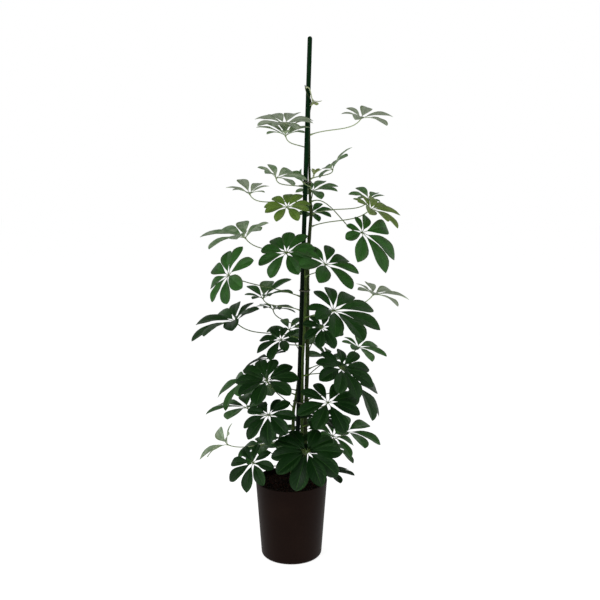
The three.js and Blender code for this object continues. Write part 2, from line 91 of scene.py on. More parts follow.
SOIL_LEVEL = 183.0
SOIL_HUMP = 2.4
SOIL_MOUND = 4.0
HUMP_SCALE_X = 5.3
HUMP_SCALE_Y = 4.7
HUMP_SHIFT = 1.1
CROSS_HUMP_SCALE = 7.9
CROSS_HUMP_SHARE = 0.6

STAKE_RADIUS = 5.5
STAKE_BOTTOM = 30.0
STAKE_TOP = 1276.0
STAKE_FOOT_X = 12.6
STAKE_REFERENCE_Z = 200.0
STAKE_LEAN = 0.03
STAKE_POINT_LENGTH = 14.0
STAKE_POINT_SHARE = 0.35

PETIOLE_FOOT_GAP = 0.95
FOOT_PULL_OUT = 0.35
FOOT_PULL_UP = 0.14
HUB_PULL_DOWN = 0.24
HUB_PULL_BACK = 0.1
HUB_RADIUS = 2.6
BLADE_HALF_WIDTH = 0.19
BLADE_FOLD = math.radians(10)
FAN_GAP = 58.0
ARCH = 44.0
ARCH_START = 14.0

TIE_HEIGHT = 3.0
TIE_THICKNESS = 1.4
TIE_SLACK = 0.8
TIE_FREE_END = 10.0
TIE_LEVELS = {"tie_upper": 938.0, "tie_middle": 676.0, "tie_lower": 396.0}

# Each stem runs through points (x, y, z, radius) from its root end up.
STEMS: dict[str, list[tuple[float, float, float, float]]] = {
    "stem_leader": [
        (34, 10, 110, 5.2),
        (35, 10, 346, 5.2),
        (37, 10, 398, 5.0),
        (40, 10, 500, 5.0),
        (40, 10, 713, 4.6),
        (42, 10, 774, 4.4),
        (46, 10, 828, 4.2),
        (49, 10, 866, 4.0),
        (46, 10, 895, 3.6),
        (44, 10, 979, 2.6),
        (44, 9, 1106, 2.0),
        (48.8, 3, 1121, 1.8),
        (48.8, -3.4, 1128, 1.7),
        (45, -7.6, 1135, 1.5),
        (36, -8.8, 1145, 1.3),
        (33.4, -8, 1163, 1.1),
    ],
    "stem_front": [
        (25, -10, 120, 3.8),
        (26.5, -10, 339, 3.8),
        (28, -10, 505, 3.6),
        (32.5, -10.5, 580, 3.5),
        (35.5, -11, 679, 3.3),
        (34, -11, 728, 2.4),
    ],
    "stem_left": [
        (-1.5, 6, 112, 4.2),
        (4.5, 4.5, 330, 4.2),
        (5, 6, 373, 4.1),
        (13, 9.5, 410, 4.0),
        (17, 10.5, 440, 3.9),
        (22.5, 10.5, 500, 3.8),
        (29, 10.5, 798, 3.0),
        (30, 10.8, 872, 1.8),
    ],
}

# name, stem, height of the petiole's foot, turn of the foot round the stem (degrees),
# hub x, y, z, reach, leaflets, lean of the leaf's face (degrees), bearing of that lean
# (0 to the viewer, 90 to +X), spin of the fan from there, cup, and length of the leaflets
# opposite the fan's middle as a share of the length at its middle
LEAVES: list[tuple[Any, ...]] = [
    ("young_leaf_top", "stem_leader", 1158, 0, 51.5, -8, 1129, 23, 5, 148, 75, 0, 44, 0.7),
    ("young_leaf_side", "stem_leader", 943, 0, 54, -15, 953, 27, 5, 15, 55, 0, 58, 0.7),
    ("leaf_01", "stem_leader", 1050, 0, 167, 10, 1088, 84, 6, 22, 30, 45, 18, 0.6),
    ("leaf_02", "stem_leader", 1080, -50, -13.5, -46, 1071, 88, 8, 18, 0, 184, 10, 0.66),
    ("leaf_03", "stem_leader", 1018, -50, -12, -44, 1045, 80, 8, 10, 10, 198, 22, 0.66),
    ("leaf_04", "stem_leader", 946, 0, 101, 40, 968, 74, 7, 36, -85, 180, 18, 0.6),
    ("leaf_05", "stem_leader", 922, -60, -34, -48, 948, 76, 6, 26, 50, 12, 22, 0.66),
    ("leaf_06", "stem_leader", 923, 50, 30, -19, 937, 46, 5, 38, -90, 8, 70, 0.75),
    ("leaf_07", "stem_leader", 890, 0, 53, 72, 915, 70, 8, 18, 5, 80, 12, 0.66),
    ("leaf_08", "stem_leader", 884, -25, -98, -20, 910, 66, 7, 12, 0, 207, 22, 0.66),
    ("leaf_09", "stem_leader", 862, 0, 192, 52, 895, 60, 7, 18, 15, 194, 16, 0.48),
    ("leaf_10", "stem_left", 862, 0, -8, -50, 880, 60, 9, 30, -10, 188, 6, 0.95),
    ("leaf_11", "stem_leader", 832, 0, 187, -46, 875, 82, 9, 34, 60, 8, 15, 0.6),
    ("leaf_12", "stem_leader", 842, 0, 50, 55, 861, 57, 8, 24, 10, 76, 14, 0.66),
    ("leaf_13", "stem_leader", 892, 0, 166, -82, 823, 116, 8, 56, 40, 30, 6, 0.34),
    ("leaf_14", "stem_left", 760, 0, -109, -25, 806, 114, 8, 20, -55, -15, 22, 0.6),
    ("leaf_15", "stem_left", 738, -45, -10, -97, 777, 69, 9, 46, -20, 187, 4, 1.06),
    ("leaf_16", "stem_front", 712, 0, 80, -115, 752, 70, 8, 38, 40, 163, 10, 1.3),
    ("leaf_17", "stem_left", 660, -20, -144, -95, 725, 74, 8, 60, -50, -80, 6, 1.05),
    ("leaf_18", "stem_leader", 610, 0, 202, 20, 662, 94, 7, 22, 68, 24, 18, 0.55),
    ("leaf_19", "stem_left", 625, 0, -71, 45, 649, 94, 7, 8, -20, 140, 26, 0.48),
    ("leaf_20", "stem_front", 612, 0, 98, -125, 647, 120, 9, 35, 38, 43, 10, 0.54),
    ("leaf_21", "stem_left", 582, 0, -47, 75, 617, 66, 7, 8, 120, 0, 12, 0.66),
    ("leaf_22", "stem_left", 556, -15, -131, -70, 611, 116, 9, 27, -72, -4, 18, 0.6),
    ("leaf_23", "stem_front", 574, 0, 74, -42, 592, 63, 8, 48, 20, 0, 6, 0.66),
    ("leaf_24", "stem_leader", 518, 0, 60, 95, 545, 80, 6, 45, 160, 0, 12, 0.66),
    ("leaf_25", "stem_front", 540, 0, -23, -90, 571, 68, 8, 34, -30, -20, 10, 0.6),
    ("leaf_26", "stem_leader", 478, 0, 168, 54, 523, 78, 7, 24, 60, 20, 12, 0.6),
    ("leaf_27", "stem_left", 520, 0, -6, 100, 560, 78, 6, 45, -160, 0, 12, 0.66),
    ("leaf_28", "stem_front", 466, 0, 120, -80, 501, 92, 9, 44, 35, 2, 8, 0.66),
    ("leaf_29", "stem_left", 424, 0, -59, -70, 468, 68, 9, 32, -10, 205, 12, 1.3),
    ("leaf_30", "stem_left", 412, 0, -109, 30, 450, 106, 8, 38, -78, 0, 3, 0.66),
    ("leaf_31", "stem_leader", 459, 0, 90, 90, 487, 84, 6, 48, 140, 0, 12, 0.66),
    ("leaf_32", "stem_leader", 400, 0, 155, -10, 444, 112, 8, 54, 70, -6, 8, 0.66),
    ("leaf_33", "stem_front", 386, 0, 87, -118, 427, 92, 8, 38, 15, -10, 8, 0.66),
    ("leaf_34", "stem_left", 380, 0, -60, 95, 420, 84, 6, 48, -145, 0, 12, 0.66),
    ("leaf_35", "stem_left", 352, 0, -53, -100, 392, 84, 9, 42, -30, 22, 4, 0.6),
    ("leaf_36", "stem_left", 352, 0, -110, 6, 378, 108, 7, 14, -75, 0, 16, 0.5),
    ("leaf_37", "stem_leader", 284, 0, 135, -15, 323, 74, 7, 24, 75, 162, 16, 1.3),
    ("leaf_38", "stem_leader", 268, 0, 34, 72, 300, 74, 6, 60, 175, 0, 12, 0.66),
    ("leaf_39", "stem_front", 270, 0, 37, -125, 310, 102, 10, 42, 5, 0, 4, 0.66),
    ("leaf_40", "stem_leader", 260, 0, 106, 48, 292, 74, 7, 40, 60, -5, 8, 0.66),
    ("leaf_41", "stem_left", 284, 0, -159, -20, 292, 90, 5, 55, -90, -15, 30, 0.6),
    ("leaf_42", "stem_left", 236, 0, -75, 38, 270, 72, 8, 28, -60, 0, 8, 0.66),
    ("leaf_43", "stem_left", 226, 0, -91, -90, 270, 76, 8, 50, -30, -18, 4, 0.66),
    ("leaf_44", "stem_left", 222, 0, -40, 106, 258, 78, 6, 50, -160, 0, 10, 0.66),
    ("leaf_45", "stem_leader", 218, 0, 104, 90, 250, 78, 6, 50, 130, 0, 10, 0.66),
    ("leaf_46", "stem_front", 206, 0, 93, -50, 230, 66, 7, 6, 75, 0, 8, 0.66),
    ("leaf_47", "stem_front", 338, 0, 74, -42, 366, 72, 7, 12, 30, 0, 10, 0.66),
    ("leaf_48", "stem_left", 300, 0, 10, -60, 306, 66, 7, 26, -15, 22, 10, 0.66),
    ("leaf_49", "stem_left", 452, 0, -52, 29, 501, 74, 7, 26, -88, 0, 12, 0.66),
]


def paint(code: str) -> Colour:
    """Turns a screen colour into the linear one that shaders take.

    Args:
        code: Six hexadecimal digits.

    Returns:
        Linear red, green and blue.
    """
    linear = []
    for i in (0, 2, 4):
        level = int(code[i : i + 2], 16) / SCREEN_TOP
        if level <= SCREEN_TOE:
            linear.append(level / SCREEN_TOE_SLOPE)
        else:
            linear.append(((level + SCREEN_SHIFT) / SCREEN_STRETCH) ** SCREEN_POWER)
    return linear[0], linear[1], linear[2]


def paints(codes: str) -> list[Colour]:
    """Turns screen colours, parted by spaces, into linear ones."""
    return [paint(code) for code in codes.split()]


# ---- node trees ----------------------------------------------------------------------------


@dataclass
class Wiring:
    """Adds nodes to a shader or geometry tree and links them.

    Attributes:
        tree: The tree that is being built.
    """

    tree: bpy.types.NodeTree

    def add(
        self, kind: str, inputs: dict[str | int, Any] | None = None, **settings: Any
    ) -> bpy.types.Node:
        """Adds a node, sets it up and feeds its inputs.

        Args:
            kind: The node's type.
            inputs: A value or another node's output socket for each input, by name or number.
            **settings: The node's own properties.

        Returns:
            The new node.
        """
        node = self.tree.nodes.new(kind)
        for name, value in settings.items():
            setattr(node, name, value)
        for key, value in (inputs or {}).items():
            if isinstance(value, Socket):
                self.tree.links.new(value, node.inputs[key])
            else:
                node.inputs[key].default_value = value
        return node

    def out(
        self,
        kind: str,
        inputs: dict[str | int, Any] | None = None,
        output: str | int = 0,
        **settings: Any,
    ) -> Socket:
        """Adds a node as add does, and returns one of its outputs."""
        return self.add(kind, inputs, **settings).outputs[output]

    def math(self, operation: str, *values: Any) -> Socket:
        """Adds a Math node and returns its output."""
        return self.out("ShaderNodeMath", dict(enumerate(values)), operation=operation)

    def inverse(self, value: Any) -> Socket:
        """Returns one less a value."""
        return self.math("SUBTRACT", 1.0, value)

    def vector(self, operation: str, *values: Any) -> Socket:
        """Adds a Vector Math node and returns its vector output."""
        return self.out("ShaderNodeVectorMath", dict(enumerate(values)), operation=operation)

    def scaled(self, vector: Any, share: Any) -> Socket:
        """Returns a vector times a number."""
        return self.out("ShaderNodeVectorMath", {0: vector, 3: share}, operation="SCALE")

    def fade(self, value: Any, low: float, high: float) -> Socket:
        """Adds a smooth step from 0 at low to 1 at high and returns its output."""
        inputs = {"Value": value, "From Min": low, "From Max": high}
        return self.out("ShaderNodeMapRange", inputs, interpolation_type="SMOOTHSTEP")

    def span(self, value: Any, low: float, high: float) -> Socket:
        """Adds a linear step from low at 0 to high at 1 and returns its output."""
        return self.out("ShaderNodeMapRange", {"Value": value, "To Min": low, "To Max": high})

    def blend(self, share: Any, first: Any, second: Any) -> Socket:
        """Mixes two colours or sockets, the second by its share, and returns the output.

        Args:
            share: How much of the second shows.
            first: A colour or a socket.
            second: A colour or a socket.

        Returns:
            The mixed colour's socket.
        """
        first, second = ((*c, 1.0) if isinstance(c, tuple) else c for c in (first, second))
        inputs = {0: share, MIX_FIRST: first, MIX_SECOND: second}
        return self.out("ShaderNodeMix", inputs, 2, data_type="RGBA")

    def shaded(self, light: Any, depth: float, colour: Any) -> Socket:
        """Darkens a colour by a depth where the light is 0."""
        return self.blend(light, self.blend(depth, colour, BLACK), colour)

    def noise(self, place: Any, scale: float, detail: float = 2.0) -> Socket:
        """Adds a noise texture and returns its grey output."""
        return self.out("ShaderNodeTexNoise", {"Vector": place, "Scale": scale, "Detail": detail})

    def patches(self, place: Any, scale: float, detail: float, low: float, high: float) -> Socket:
        """Returns soft patches: noise that fades in between two levels."""
        return self.fade(self.noise(place, scale, detail), low, high)

    def place(self) -> Socket:
        """Returns the place on the object."""
        return self.out("ShaderNodeTexCoord", output="Object")

    def drawn(self, place: Any, share: float) -> Socket:
        """Returns a place with its height scaled, so that patterns stretch or shrink upright."""
        return self.vector("MULTIPLY", place, (1, 1, share))

    def split(self, vector: Any) -> list[Socket]:
        """Returns the three parts of a vector."""
        return list(self.add("ShaderNodeSeparateXYZ", {0: vector}).outputs)

    def pattern(self) -> list[Socket]:
        """Returns the place across and along the pattern map."""
        return self.split(self.out("ShaderNodeUVMap", uv_map=PATTERN_MAP))[:2]

    def tone(self) -> Socket:
        """Returns the tone that the mesh carries."""
        return self.out("ShaderNodeAttribute", output="Fac", attribute_name=TONE)

    def join(self, first: Any, second: Any) -> Socket:
        """Joins two geometries.

        Args:
            first: One geometry.
            second: The other one.

        Returns:
            The joined geometry's socket.
        """
        node = self.add("GeometryNodeJoinGeometry", {0: first})
        self.tree.links.new(second, node.inputs[0])
        return node.outputs[0]

    def ball(
        self, radius: Any, segments: int, rings: int, scale: tuple[float, float, float]
    ) -> Socket:
        """Adds a smooth ball, scaled along its axes.

        Args:
            radius: Its radius before scaling.
            segments: Faces round it.
            rings: Faces from pole to pole.
            scale: The scale along each axis.

        Returns:
            The ball's socket.
        """
        inputs = {"Radius": radius, "Segments": segments, "Rings": rings}
        return self.smooth(self.stretched(self.out("GeometryNodeMeshUVSphere", inputs), scale))

    def stretched(self, shape: Any, scale: tuple[float, float, float]) -> Socket:
        """Scales a geometry along its axes."""
        return self.out("GeometryNodeTransform", {0: shape, "Scale": scale})

    def smooth(self, shape: Any) -> Socket:
        """Shades a geometry smooth."""
        return self.out("GeometryNodeSetShadeSmooth", {0: shape})

    def moved(self, shape: Any, offset: Any) -> Socket:
        """Moves the points of a geometry."""
        return self.out("GeometryNodeSetPosition", {"Geometry": shape, "Offset": offset})

    def realized(self, shape: Any) -> Socket:
        """Makes instances plain geometry."""
        return self.out("GeometryNodeRealizeInstances", {0: shape})

    def screw(self, turn: Any, radius: Any) -> tuple[Socket, Socket]:
        """Finds the angle and the outward offset of each point of a screw line.

        Args:
            turn: The turn from one point to the next.
            radius: The screw's radius.

        Returns:
            The angle and the offset.
        """
        angle = self.math("MULTIPLY", self.out("GeometryNodeInputIndex"), turn)
        parts = [self.math("MULTIPLY", self.math(f, angle), radius) for f in ("COSINE", "SINE")]
        return angle, self.out("ShaderNodeCombineXYZ", dict(enumerate(parts)))


# ---- finishes ------------------------------------------------------------------------------


@dataclass
class Surface(Wiring):
    """A material's tree with the shader that it feeds.

    Attributes:
        shader: The Principled shader.
        roughness: Its usual roughness.
    """

    shader: bpy.types.Node
    roughness: float

    def feed(self, colour: Any, relief: Any, strength: float, depth: float) -> None:
        """Feeds colour and relief to the shader.

        Args:
            colour: The colour's socket.
            relief: The relief's grey socket.
            strength: How strongly the relief shows.
            depth: The relief's depth in millimetres.
        """
        inputs = {"Height": relief, "Strength": strength, "Distance": depth * MM}
        self.tree.links.new(colour, self.shader.inputs["Base Color"])
        self.tree.links.new(self.out("ShaderNodeBump", inputs), self.shader.inputs["Normal"])

    def dull(self, share: Any, less: float, more: float) -> None:
        """Varies the roughness, by less below the usual at share 0 and by more above it at 1."""
        dulled = self.span(share, self.roughness - less, self.roughness + more)
        self.tree.links.new(dulled, self.shader.inputs["Roughness"])


@dataclass(frozen=True)
class Finish:
    """A named surface finish with its own procedural material.

    A finish's RELIEF is how strongly its relief shows, and the relief's depth in millimetres.

    Attributes:
        name: The material's name.
        roughness: How dull the surface is.
        gloss: Strength of its mirror-like share, where 0.5 is usual.
    """

    name: str
    roughness: float
    gloss: float

    @cache
    def material(self) -> bpy.types.Material:
        """Makes the finish's material, once.

        Returns:
            The material.
        """
        made = bpy.data.materials.new(self.name)
        made.use_nodes = True
        shader = made.node_tree.nodes["Principled BSDF"]
        shader.inputs["Roughness"].default_value = self.roughness
        shader.inputs["Specular IOR Level"].default_value = self.gloss
        self.dress(Surface(made.node_tree, shader, self.roughness))
        return made

    def dress(self, wiring: Surface) -> None:
        """Feeds the shader's inputs.

        Args:
            wiring: The material's tree and shader.
        """
        raise NotImplementedError


@dataclass(frozen=True)
class MouldedPlastic(Finish):
    """The pot's dark plastic, with a fine grain and a little dust.

    Attributes:
        colour: The plastic's colour.
        dust: The colour of dust and scuffs.
    """

    colour: Colour
    dust: Colour

    CLOUDS = (14, 5, 0.45, 0.8)
    CLOUD_SHARE = 0.22
    SCUFFS = (30, 4, 0.6, 0.8)
    SCUFF_SHARE = 0.12
    SCUFF_DRAW = 7
    GRAIN = (900, 2)
    DUST_DULLS = 0.3
    RELIEF = (0.35, 0.25)

    def dress(self, wiring: Surface) -> None:
        """Feeds the shader's inputs.

        Args:
            wiring: The material's tree and shader.
        """
        place = wiring.place()
        cloud = wiring.patches(place, *self.CLOUDS)
        scuff = wiring.patches(wiring.drawn(place, self.SCUFF_DRAW), *self.SCUFFS)
        scuffed = wiring.math("MULTIPLY", scuff, self.SCUFF_SHARE)
        dusty = wiring.math("MULTIPLY_ADD", cloud, self.CLOUD_SHARE, scuffed)
        wiring.dull(dusty, 0.0, self.DUST_DULLS)
        colour = wiring.blend(dusty, self.colour, self.dust)
        wiring.feed(colour, wiring.noise(place, *self.GRAIN), *self.RELIEF)


@dataclass(frozen=True)
class CoatedTube(Finish):
    """The stake's coat of coloured plastic, drawn along its length.

    Attributes:
        colour: The coat's colour.
        worn: The colour where it is rubbed.
        shade_below: Painted shade: the darker colour of its lower part, where the leaves shade it.
    """

    colour: Colour
    worn: Colour
    shade_below: Colour

    UNSHADED_LEVELS = (0.7, 1.0)
    RUBBED = (55, 4, 0.55, 0.8)
    RUBBED_SHARE = 0.5
    STREAKS = (260, 3)
    STREAK_DRAW = 0.08
    WORN_DULLS = 0.2
    RELIEF = (0.4, 0.3)

    def dress(self, wiring: Surface) -> None:
        """Feeds the shader's inputs.

        Args:
            wiring: The material's tree and shader.
        """
        place = wiring.place()
        rubbed = wiring.patches(place, *self.RUBBED)
        # Painted shade: the coat darkens from 1 m down towards the shade colour, which is full below
        # 0.7 m, where the leaves shade the stake.
        unshaded = wiring.fade(wiring.split(place)[2], *self.UNSHADED_LEVELS)
        worn = wiring.math("MULTIPLY", rubbed, self.RUBBED_SHARE)
        coat = wiring.blend(worn, self.colour, self.worn)
        wiring.dull(rubbed, 0.0, self.WORN_DULLS)
        streak = wiring.noise(wiring.drawn(place, self.STREAK_DRAW), *self.STREAKS)
        wiring.feed(wiring.blend(unshaded, self.shade_below, coat), streak, *self.RELIEF)


@dataclass(frozen=True)
class YoungBark(Finish):
    """Green bark that turns brown, with fine fissures and pale pores.

    Attributes:
        green: The colour of young bark.
        brown: The colour of older bark.
        age: How much of it is brown, from 0 to 1.
    """

    green: Colour
    brown: Colour
    age: float

    DRAW = 0.16
    FISSURES = (420, 5)
    PATCHES = (38, 4)
    PATCH_LEVELS = (0.75, 0.95)
    PORE_SCALE = 210.0
    PORE_EDGE = (0.08, 0.2)
    PORE_COLOUR = paint("8f8a5c")
    PORE_SHARE = 0.35
    PORE_RELIEF = 0.6
    FISSURE_LEVELS = (0.3, 0.7)
    FISSURE_DEPTH = 0.55
    RELIEF = (0.6, 0.5)

    def dress(self, wiring: Surface) -> None:
        """Feeds the shader's inputs.

        Args:
            wiring: The material's tree and shader.
        """
        place = wiring.place()
        drawn = wiring.drawn(place, self.DRAW)
        fissure = wiring.noise(drawn, *self.FISSURES)
        low, high = (level - self.age * 0.5 for level in self.PATCH_LEVELS)
        patch = wiring.patches(place, *self.PATCHES, low, high)
        cells = {"Vector": drawn, "Scale": self.PORE_SCALE}
        distance = wiring.out("ShaderNodeTexVoronoi", cells, "Distance")
        pore = wiring.inverse(wiring.fade(distance, *self.PORE_EDGE))
        bark = wiring.blend(patch, self.green, self.brown)
        lit = wiring.fade(fissure, *self.FISSURE_LEVELS)
        shaded = wiring.shaded(lit, self.FISSURE_DEPTH, bark)
        paled = wiring.math("MULTIPLY", pore, self.PORE_SHARE)
        relief = wiring.math("MULTIPLY_ADD", pore, self.PORE_RELIEF, fissure)
        wiring.feed(wiring.blend(paled, shaded, self.PORE_COLOUR), relief, *self.RELIEF)


@dataclass(frozen=True)
class TwistedFibre(Finish):
    """The ties' fibres.

    Attributes:
        colour: The fibre's colour.
        shade: The colour deep in the twist.
    """

    colour: Colour
    shade: Colour

    HAIRS = (1500, 3)
    HAIR_LEVELS = (0.35, 0.65)
    RELIEF = (0.5, 0.2)

    def dress(self, wiring: Surface) -> None:
        """Feeds the shader's inputs.

        Args:
            wiring: The material's tree and shader.
        """
        hairs = wiring.noise(wiring.place(), *self.HAIRS)
        colour = wiring.blend(wiring.fade(hairs, *self.HAIR_LEVELS), self.shade, self.colour)
        wiring.feed(colour, hairs, *self.RELIEF)


@dataclass(frozen=True)
class BurntClay(Finish):
    """Clay granules: each has its own shade, a rough skin and small pores.

    Attributes:
        light: The colour of the lightest granule.
        dark: The colour of the darkest one.
    """

    light: Colour
    dark: Colour

    SKIN = (700, 4)
    SKIN_LEVELS = (0.35, 0.7)
    SKIN_DEPTH = 0.6
    RELIEF = (0.8, 0.6)

    def dress(self, wiring: Surface) -> None:
        """Feeds the shader's inputs.

        Args:
            wiring: The material's tree and shader.
        """
        skin = wiring.noise(wiring.place(), *self.SKIN)
        colour = wiring.blend(wiring.tone(), self.dark, self.light)
        lit = wiring.fade(skin, *self.SKIN_LEVELS)
        wiring.feed(wiring.shaded(lit, self.SKIN_DEPTH, colour), skin, *self.RELIEF)


class BladeSide(Enum):
    """Which face of a leaflet a finish is for."""

    UPPER = "upper"
    UNDER = "under"


@dataclass(frozen=True)
class LeafSkin(Finish):
    """A leaflet's face: leathery, with a midrib, side veins and a tone that is partly its own colour
    and partly painted light and shade.

    Attributes:
        side: The upper or the under face.
        deep: The blade's colour at tone 0.
        fresh: Its colour at middle tones.
        pale: Its colour at tone 1.
        rib: The colour of the midrib.
        vein_share: How strongly the side veins show.
    """

    side: BladeSide
    deep: Colour
    fresh: Colour
    pale: Colour
    rib: Colour
    vein_share: float

    VEINS = 9.0
    VEIN_SLANT = 2.6
    VEIN_EDGE = (0.02, 0.12)
    VEIN_END = (0.55, 0.98)
    RIB_SHARE = 0.05
    RIB_CORE = 0.4
    RIB_STRENGTH = 0.4
    RIB_RELIEF = 1.6
    MOTTLE = 0.5
    MOTTLES = (60, 4)
    SHEEN = (150, 3)
    SHEEN_SPREAD = (0.08, 0.12)
    WRINKLES = (70, 2)
    WRINKLE_RELIEF = 4.0
    GRAIN = (1100, 2)
    GRAIN_RELIEF = 0.25
    QUILT_RELIEF = 0.5
    RELIEF = (0.4, 0.6)
    FRESH_TONES = (-0.06, 0.75)
    PALE_TONES = (0.4, 0.9)

    def dress(self, wiring: Surface) -> None:
        """Feeds the shader's inputs.

        Args:
            wiring: The material's tree and shader.
        """
        place = wiring.place()
        across, along = wiring.pattern()
        aside = wiring.math("ABSOLUTE", wiring.math("SUBTRACT", across, 0.5))
        offside = wiring.math("MULTIPLY", aside, 2.0)
        core = self.RIB_SHARE * self.RIB_CORE
        rib = wiring.inverse(wiring.fade(offside, core, self.RIB_SHARE))
        slant = wiring.math("MULTIPLY", offside, -self.VEIN_SLANT)
        phase = wiring.math("MULTIPLY_ADD", along, self.VEINS, slant)
        ripple = wiring.math("PINGPONG", phase, 0.5)
        vein = wiring.inverse(wiring.fade(ripple, *self.VEIN_EDGE))
        vein = wiring.math("MULTIPLY", vein, wiring.inverse(wiring.fade(offside, *self.VEIN_END)))
        mottle = wiring.span(wiring.noise(place, *self.MOTTLES), 1 - self.MOTTLE, 1 + self.MOTTLE)
        mottled = wiring.math("MULTIPLY", wiring.tone(), mottle)
        # The tone carries painted light and shade as well as the leaf's own colour; it blends the deep,
        # fresh and pale colours.
        green = wiring.blend(wiring.fade(mottled, *self.FRESH_TONES), self.deep, self.fresh)
        leaf = wiring.blend(wiring.fade(mottled, *self.PALE_TONES), green, self.pale)
        veined = wiring.blend(wiring.math("MULTIPLY", vein, self.vein_share), leaf, self.rib)
        ribbed = wiring.blend(wiring.math("MULTIPLY", rib, self.RIB_STRENGTH), veined, self.rib)
        wiring.dull(wiring.noise(place, *self.SHEEN), *self.SHEEN_SPREAD)
        sign = -1.0 if self.side is BladeSide.UPPER else 1.0
        lines = wiring.math("MULTIPLY_ADD", rib, self.RIB_RELIEF, vein)
        quilt = wiring.math("MULTIPLY", wiring.fade(ripple, 0.0, 0.5), self.QUILT_RELIEF)
        relief = wiring.math("MULTIPLY_ADD", lines, sign, quilt)
        for texture, share in (
            (self.WRINKLES, self.WRINKLE_RELIEF),
            (self.GRAIN, self.GRAIN_RELIEF),
        ):
            relief = wiring.math("MULTIPLY_ADD", wiring.noise(place, *texture), share, relief)
        wiring.feed(ribbed, relief, *self.RELIEF)


@dataclass(frozen=True)
class LeafStalkSkin(Finish):
    """The skin of petioles, hubs and leaflet stalks, which pales from the foot to the blade.

    Attributes:
        foot: The colour where the petiole leaves its stem.
        middle: The colour of the hub.
        end: The colour of a leaflet's stalk.
        pale: The colour that all of it nears at tone 1.
    """

    foot: Colour
    middle: Colour
    end: Colour
    pale: Colour

    FOOT_END = (-1.0, -0.7)
    STALK_START = (0.0, 0.08)
    PALE_TONES = (0.1, 1.1)
    FLECKS = (300, 4, 0.5, 0.75)
    FLECK_SHARE = 0.3
    SKIN_GRAIN = (800, 2)
    RELIEF = (0.3, 0.2)

    def dress(self, wiring: Surface) -> None:
        """Feeds the shader's inputs.

        Args:
            wiring: The material's tree and shader.
        """
        place = wiring.place()
        along = wiring.pattern()[1]
        lower = wiring.blend(wiring.fade(along, *self.FOOT_END), self.foot, self.middle)
        skin = wiring.blend(wiring.fade(along, *self.STALK_START), lower, self.end)
        # The tone carries painted light and shade, which pale or darken the stalks as they do the
        # blades.
        light = wiring.blend(wiring.fade(wiring.tone(), *self.PALE_TONES), skin, self.pale)
        fleck = wiring.math("MULTIPLY", wiring.patches(place, *self.FLECKS), self.FLECK_SHARE)
        colour = wiring.blend(fleck, light, self.foot)
        wiring.feed(colour, wiring.noise(place, *self.SKIN_GRAIN), *self.RELIEF)


@dataclass(frozen=True)
class StudioPaper(Finish):
    """The plain pale floor, lit a little from below.

    Attributes:
        colour: The paper's colour.
        glow: How much light comes through it.
    """

    colour: Colour
    glow: float

    def dress(self, wiring: Surface) -> None:
        """Feeds the shader's inputs.

        Args:
            wiring: The material's tree and shader.
        """
        wiring.shader.inputs["Base Color"].default_value = (*self.colour, 1.0)
        wiring.shader.inputs["Emission Color"].default_value = (1, 1, 1, 1)
        wiring.shader.inputs["Emission Strength"].default_value = self.glow


class LeafAge(Enum):
    """How old a leaf is, which sets its colours."""

    MATURE = "mature"
    FRESH = "fresh"
    YOUNG = "young"


UPPER, UNDER = BladeSide.UPPER, BladeSide.UNDER

# The upper, under and stalk finishes of a leaf of each age, in the order of its slots.
WARDROBES: dict[LeafAge, tuple[Finish, ...]] = {
    LeafAge.MATURE: (
        LeafSkin("leaf_upper", 0.4, 0.22, UPPER, *paints("082c06 4a8638 bccaae 467832"), 0.06),
        LeafSkin("leaf_under", 0.6, 0.15, UNDER, *paints("1e401a 5c7c4c a0b08c 7c9264"), 0.3),
        LeafStalkSkin("leaf_stalk", 0.5, 0.25, *paints("5c7828 4a6424 566c34 b0c094")),
    ),
    LeafAge.FRESH: (
        LeafSkin("fresh_leaf_upper", 0.42, 0.18, UPPER, *paints("3c6018 7a9a40 9aae6c 7c9a40"), 0.14),
        LeafSkin("fresh_leaf_under", 0.6, 0.15, UNDER, *paints("56723a 768c4c 98a674 8c9e60"), 0.3),
        LeafStalkSkin("fresh_leaf_stalk", 0.5, 0.25, *paints("485c24 5e7634 7e985a b0c094")),
    ),
    LeafAge.YOUNG: (
        LeafSkin("young_leaf_upper", 0.45, 0.2, UPPER, *paints("5c7038 7a8c4c 94a268 a2ac78"), 0.14),
        LeafSkin("young_leaf_under", 0.6, 0.2, UNDER, *paints("6c7a4a 88945e a0aa7c a8b084"), 0.25),
        LeafStalkSkin("young_leaf_stalk", 0.5, 0.25, *paints("5c6a3c 7c8858 9ca67c b4be94")),
    ),
}

AGES = {
    "young_leaf_top": LeafAge.YOUNG,
    "young_leaf_side": LeafAge.YOUNG,
    "leaf_10": LeafAge.FRESH,
    "leaf_11": LeafAge.FRESH,
}

# Painted light: how much lighter some leaves are painted than their height alone would make them, for
# the grey-green sheen and light that they catch.
PAINTED_LIGHT_TONES = {
    "leaf_01": 0.1, "leaf_05": 0.18, "leaf_07": 0.05, "leaf_08": 0.4, "leaf_09": 0.15,
    "leaf_10": 0.05, "leaf_11": 0.2, "leaf_12": 0.05, "leaf_14": 0.34, "leaf_16": 0.08,
    "leaf_17": 0.12, "leaf_18": 0.85, "leaf_19": 0.3, "leaf_21": 0.1, "leaf_22": 0.06,
    "leaf_26": 0.35, "leaf_30": 0.3, "leaf_32": 0.05, "leaf_36": 0.45, "leaf_37": 0.45,
    "leaf_40": 0.3, "leaf_41": 0.68, "leaf_42": 0.25,
}

POT_PLASTIC = MouldedPlastic("fine_pot_plastic", 0.5, 0.05, *paints("190c07 2c1e17"))
